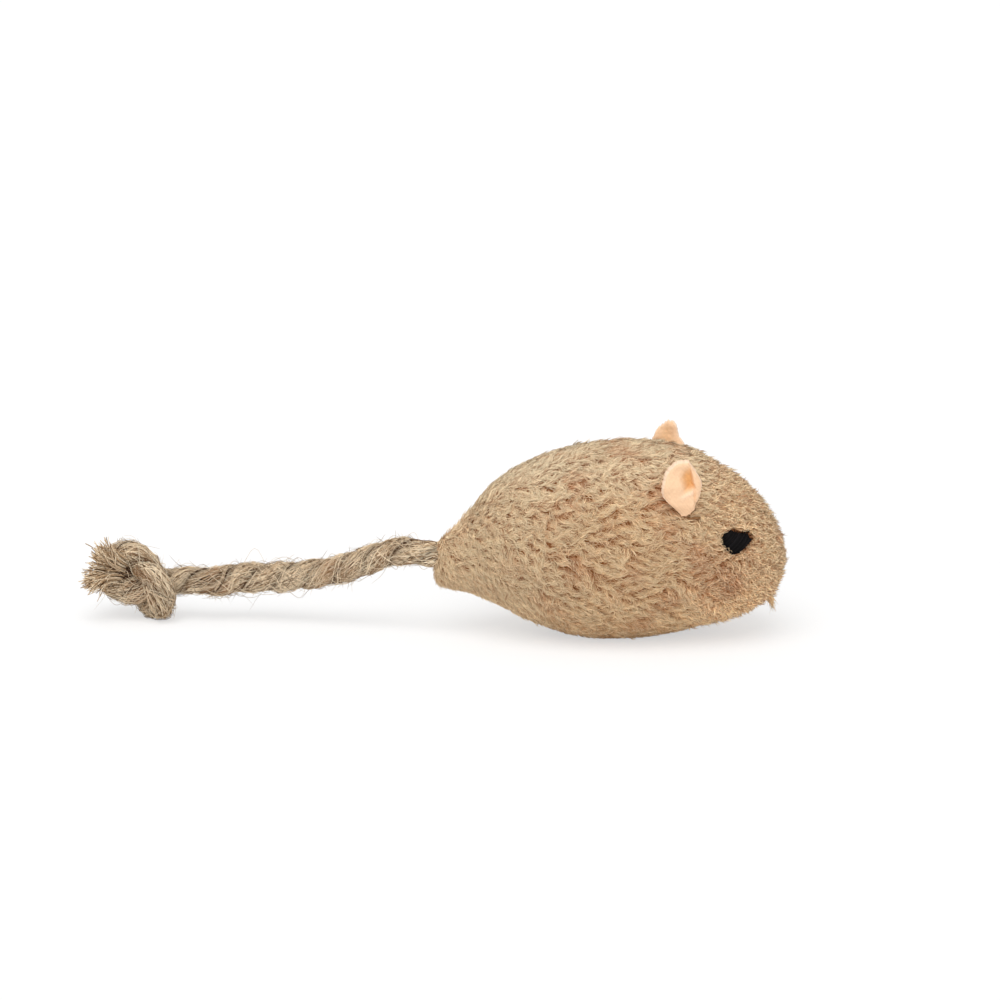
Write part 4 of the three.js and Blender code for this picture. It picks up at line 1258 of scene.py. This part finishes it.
def felt_tones(edge_gap, share, hollow, lip_swell, crease):
    """Warm painted shade in the pocket and the crease, warmer over the middle of the back, pale along the cut
    edge, and a pale painted highlight on the lip.
    """
    back_warm = 0.4 * smoothstep(0.2, 2, edge_gap)
    # In the pocket and the crease the warm tone is painted shade
    warm = np.concatenate([(hollow + 0.15 * crease).ravel(), back_warm.ravel()])
    # The lip is made paler as a painted highlight
    cut = smoothstep(0.3, 0.05, edge_gap) * smoothstep(0.1, 0.3, share) + 0.5 * lip_swell
    cut = np.concatenate([cut.ravel(), cut.ravel()])
    tone = mix(EAR_PALE, EAR_WARM_AND_SHADE, np.clip(warm, 0, 1)[:, None])
    return mix(tone, EAR_CUT_AND_HIGHLIGHT, np.clip(cut, 0, 0.8)[:, None])


def ear(side_name):
    """One ear, from a front and a back sheet that meet at the cut edge."""
    side_sign = SIDES[side_name]
    point, along, up, out = ear_frame(side_name)
    place, share = np.meshgrid(np.linspace(-1, 1, EAR_COLUMNS), np.linspace(-EAR_ROOT, 1, EAR_ROWS))
    rear, front = (eased(edge, share) for edge in EAR_EDGES[side_name])
    x = mix(rear, front, (place + 1) / 2)
    y = EAR_TIP + EAR_SPAN * share
    seen = EAR_SPAN * share * math.cos(EAR_LEAN + VIEW_ELEVATION)
    edge_gap = np.minimum(np.minimum(x - rear, front - x), 1.2 * (1 - share) * EAR_SPAN)
    swell = np.sqrt(1 - (1 - np.clip(edge_gap / EAR_ROUND, 0, 1)) ** 2)
    front_depth = EAR_HALF_THICK + EAR_FRONT_SWELL * swell * smoothstep(0, 0.25, share)
    back_depth = -EAR_HALF_THICK - EAR_BACK_SWELL * swell * smoothstep(0, 0.25, share)

    hollow, lip_swell, crease = pocket(x, seen, side_sign)
    front_depth = front_depth - POCKET_DEPTH * hollow + LIP_HEIGHT * lip_swell - CREASE_DEPTH * crease

    middle = point + x[..., None] * along + y[..., None] * up + up + EAR_SHIFT[side_name] * along
    middle = middle - EAR_TUCK * smoothstep(0.03, -EAR_ROOT, share)[..., None] * out
    felt_random = np.random.default_rng(3 + side_sign)
    ripple = 0.1 * waves(felt_random, 3)(middle) + 0.012 * waves(felt_random, 0.7)(middle)
    frayed = 0.05 * waves(felt_random, 0.5)(middle) * smoothstep(0.5, 0, edge_gap)
    middle = middle + frayed[..., None] * unit(x[..., None] * along + (y - 5)[..., None] * up)
    sheets = [middle + (depth + ripple)[..., None] * out for depth in (front_depth, back_depth)]
    points, faces = closed_sheet(*sheets)
    if side_sign > 0:
        faces = [part[:, ::-1] for part in faces]
    stipple = np.exp(0.02 * waves(felt_random, 0.45)(points))[:, None]
    felt_tone = felt_tones(edge_gap, share, hollow, lip_swell, crease) * stipple
    made = mesh_object(f"{side_name}_felt_ear", points, faces, felt_finish, np.minimum(felt_tone, 0.98))
    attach(made, f"{side_name}_ear")
    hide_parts(f"{side_name}_ear")


for side_name in SIDES:
    ear(side_name)


# Eyes: satin stitches over a low dome, with loose thread ends round them

EYE_DARK = linear(17, 15, 16)
STITCH_STEP = 0.17
STITCH_RADIUS = 0.15
STITCH_SLANT = math.radians(58)
STITCH_POINTS = 9
LOOSE_ENDS = 46
eye_random = np.random.default_rng(31)


def eye_stitches(point, along, up, out):
    """Satin stitches that lie side by side from edge to edge."""
    way = np.array([math.cos(STITCH_SLANT), math.sin(STITCH_SLANT)])
    across = np.array([-way[1], way[0]])
    reach = np.abs(EYE_OUTLINE @ across).max()
    share = np.linspace(0, 1, STITCH_POINTS)[:, None]
    swell = np.sin(math.pi * np.clip(share[:, 0], 0.02, 0.98)) ** 0.5
    paths, tones = [], []
    for offset in np.arange(-reach, reach, STITCH_STEP):
        line = offset * across + np.linspace(-4, 4, 400)[:, None] * way
        found = line[inside(EYE_OUTLINE, line)]
        if len(found) < 20:
            continue
        start = found[0] + way * eye_random.normal(0.1, 0.08)
        end = found[-1] - way * eye_random.normal(0.1, 0.08)
        flat = start + (end - start) * share + across * eye_random.normal(0, 0.03)
        far = np.clip(np.linalg.norm(flat / [EYE_LENGTH, EYE_HEIGHT], axis=1) * 2, 0, 1)
        height = -0.9 + swell * (0.95 + 0.4 * (1 - far**2)) + eye_random.normal(0, 0.06)
        paths.append(point + flat[:, :1] * along + flat[:, 1:] * up + height[:, None] * out)
        tones.append(np.tile(EYE_DARK * math.exp(eye_random.normal(0, 0.3)), (STITCH_POINTS, 1)))
    paths = np.array(paths)
    thick = np.full(paths.shape[:2], STITCH_RADIUS)
    return paths, thick, STITCH_SIDES, np.tile(out, (len(paths), 1)), np.array(tones)


def eye_threads(point, along, up, out):
    """Loose thread ends round the edge."""
    corner = eye_random.uniform(0, len(EYE_OUTLINE), LOOSE_ENDS)
    a = EYE_OUTLINE[corner.astype(int)]
    b = np.roll(EYE_OUTLINE, -1, axis=0)[corner.astype(int)]
    edge = mix(a, b, (corner % 1)[:, None])
    away_from = unit(unit(edge) + eye_random.normal(0, 0.5, (LOOSE_ENDS, 2)))
    share = np.linspace(0, 1, 5)[None, :, None]
    length = eye_random.uniform(0.3, 0.65, (LOOSE_ENDS, 1, 1))
    flat = (edge * 0.88)[:, None] + away_from[:, None] * share * length
    height = mix(-0.1, 0.25, np.sin(share * 2.2)) + eye_random.normal(0, 0.08, (LOOSE_ENDS, 1, 1))
    ends = point + flat[..., :1] * along + flat[..., 1:] * up + height * out
    thick = eye_random.uniform(0.05, 0.09, (LOOSE_ENDS, 1)) * (1 - 0.5 * share[..., 0])
    tones = np.broadcast_to(EYE_DARK, ends.shape).copy()
    return ends, thick, FIBRE_SIDES, np.tile(out, (LOOSE_ENDS, 1)), tones


def eye(side_name):
    place = eye_frame(side_name)
    made = tubes_object(f"{side_name}_sewn_eye", [eye_stitches(*place), eye_threads(*place)], eye_finish)
    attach(made, "torso")
    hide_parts(f"{side_name}_eye")


for side_name in SIDES:
    eye(side_name)


# Floor, backdrop and light

FLOOR_HALF = 4000
FLOOR_SIGNS = ((-1, -1), (1, -1), (1, 1), (-1, 1))
floor_corners = [(x * FLOOR_HALF * MM, y * FLOOR_HALF * MM, 0) for x, y in FLOOR_SIGNS]
floor_mesh = bpy.data.meshes.new("floor")
floor_mesh.from_pydata(floor_corners, [], [(0, 1, 2, 3)])
floor = placed("floor", floor_mesh)
floor_finish, floor_tree, floor_shader = new_material("floor_white", 0.9, 0.0)
floor_mesh.materials.append(floor_finish)


def seen_level(tree, unseen, in_view):
    """One value where the camera, a mirror or glass looks, and another for all other light."""
    path = node(tree, "ShaderNodeLightPath")
    looked = path.outputs["Is Camera Ray"]
    for kind in ("Is Glossy Ray", "Is Transmission Ray"):
        either = node(tree, "ShaderNodeMath", operation="MAXIMUM")
        tree.links.new(looked, either.inputs[0])
        tree.links.new(path.outputs[kind], either.inputs[1])
        looked = either.outputs["Value"]
    level = node(tree, "ShaderNodeMapRange", **{"To Min": unseen, "To Max": in_view})
    tree.links.new(looked, level.inputs["Value"])
    return level.outputs["Result"]


# The floor looks white and shows about half of the shadow's depth
floor_tree.links.new(seen_level(floor_tree, 0.93, 0.45), floor_shader.inputs["Base Color"])
floor_shader.inputs["Emission Color"].default_value = (1, 1, 1, 1)
floor_tree.links.new(seen_level(floor_tree, 0, 0.55), floor_shader.inputs["Emission Strength"])

world = bpy.data.worlds.new("studio")
bpy.context.scene.world = world
world.use_nodes = True
world_tree = world.node_tree
background = world_tree.nodes["Background"]
background.inputs["Color"].default_value = (1, 1, 1, 1)
world_tree.links.new(seen_level(world_tree, 0.58, 1), background.inputs["Strength"])


def soft_sun(name, energy, lean, turn, angle):
    """A broad light, leaned from overhead towards the camera."""
    data = bpy.data.lights.new(name, "SUN")
    data.energy = energy
    data.angle = math.radians(angle)
    placed(name, data).rotation_euler = (math.radians(lean), math.radians(turn), 0)


soft_sun("overhead", energy=1.5, lean=26, turn=-8, angle=50)
soft_sun("front_fill", energy=1.15, lean=80, turn=0, angle=60)

bpy.context.scene.view_settings.view_transform = "Standard"
bpy.context.scene.view_settings.look = "None"

bpy.context.view_layer.update()
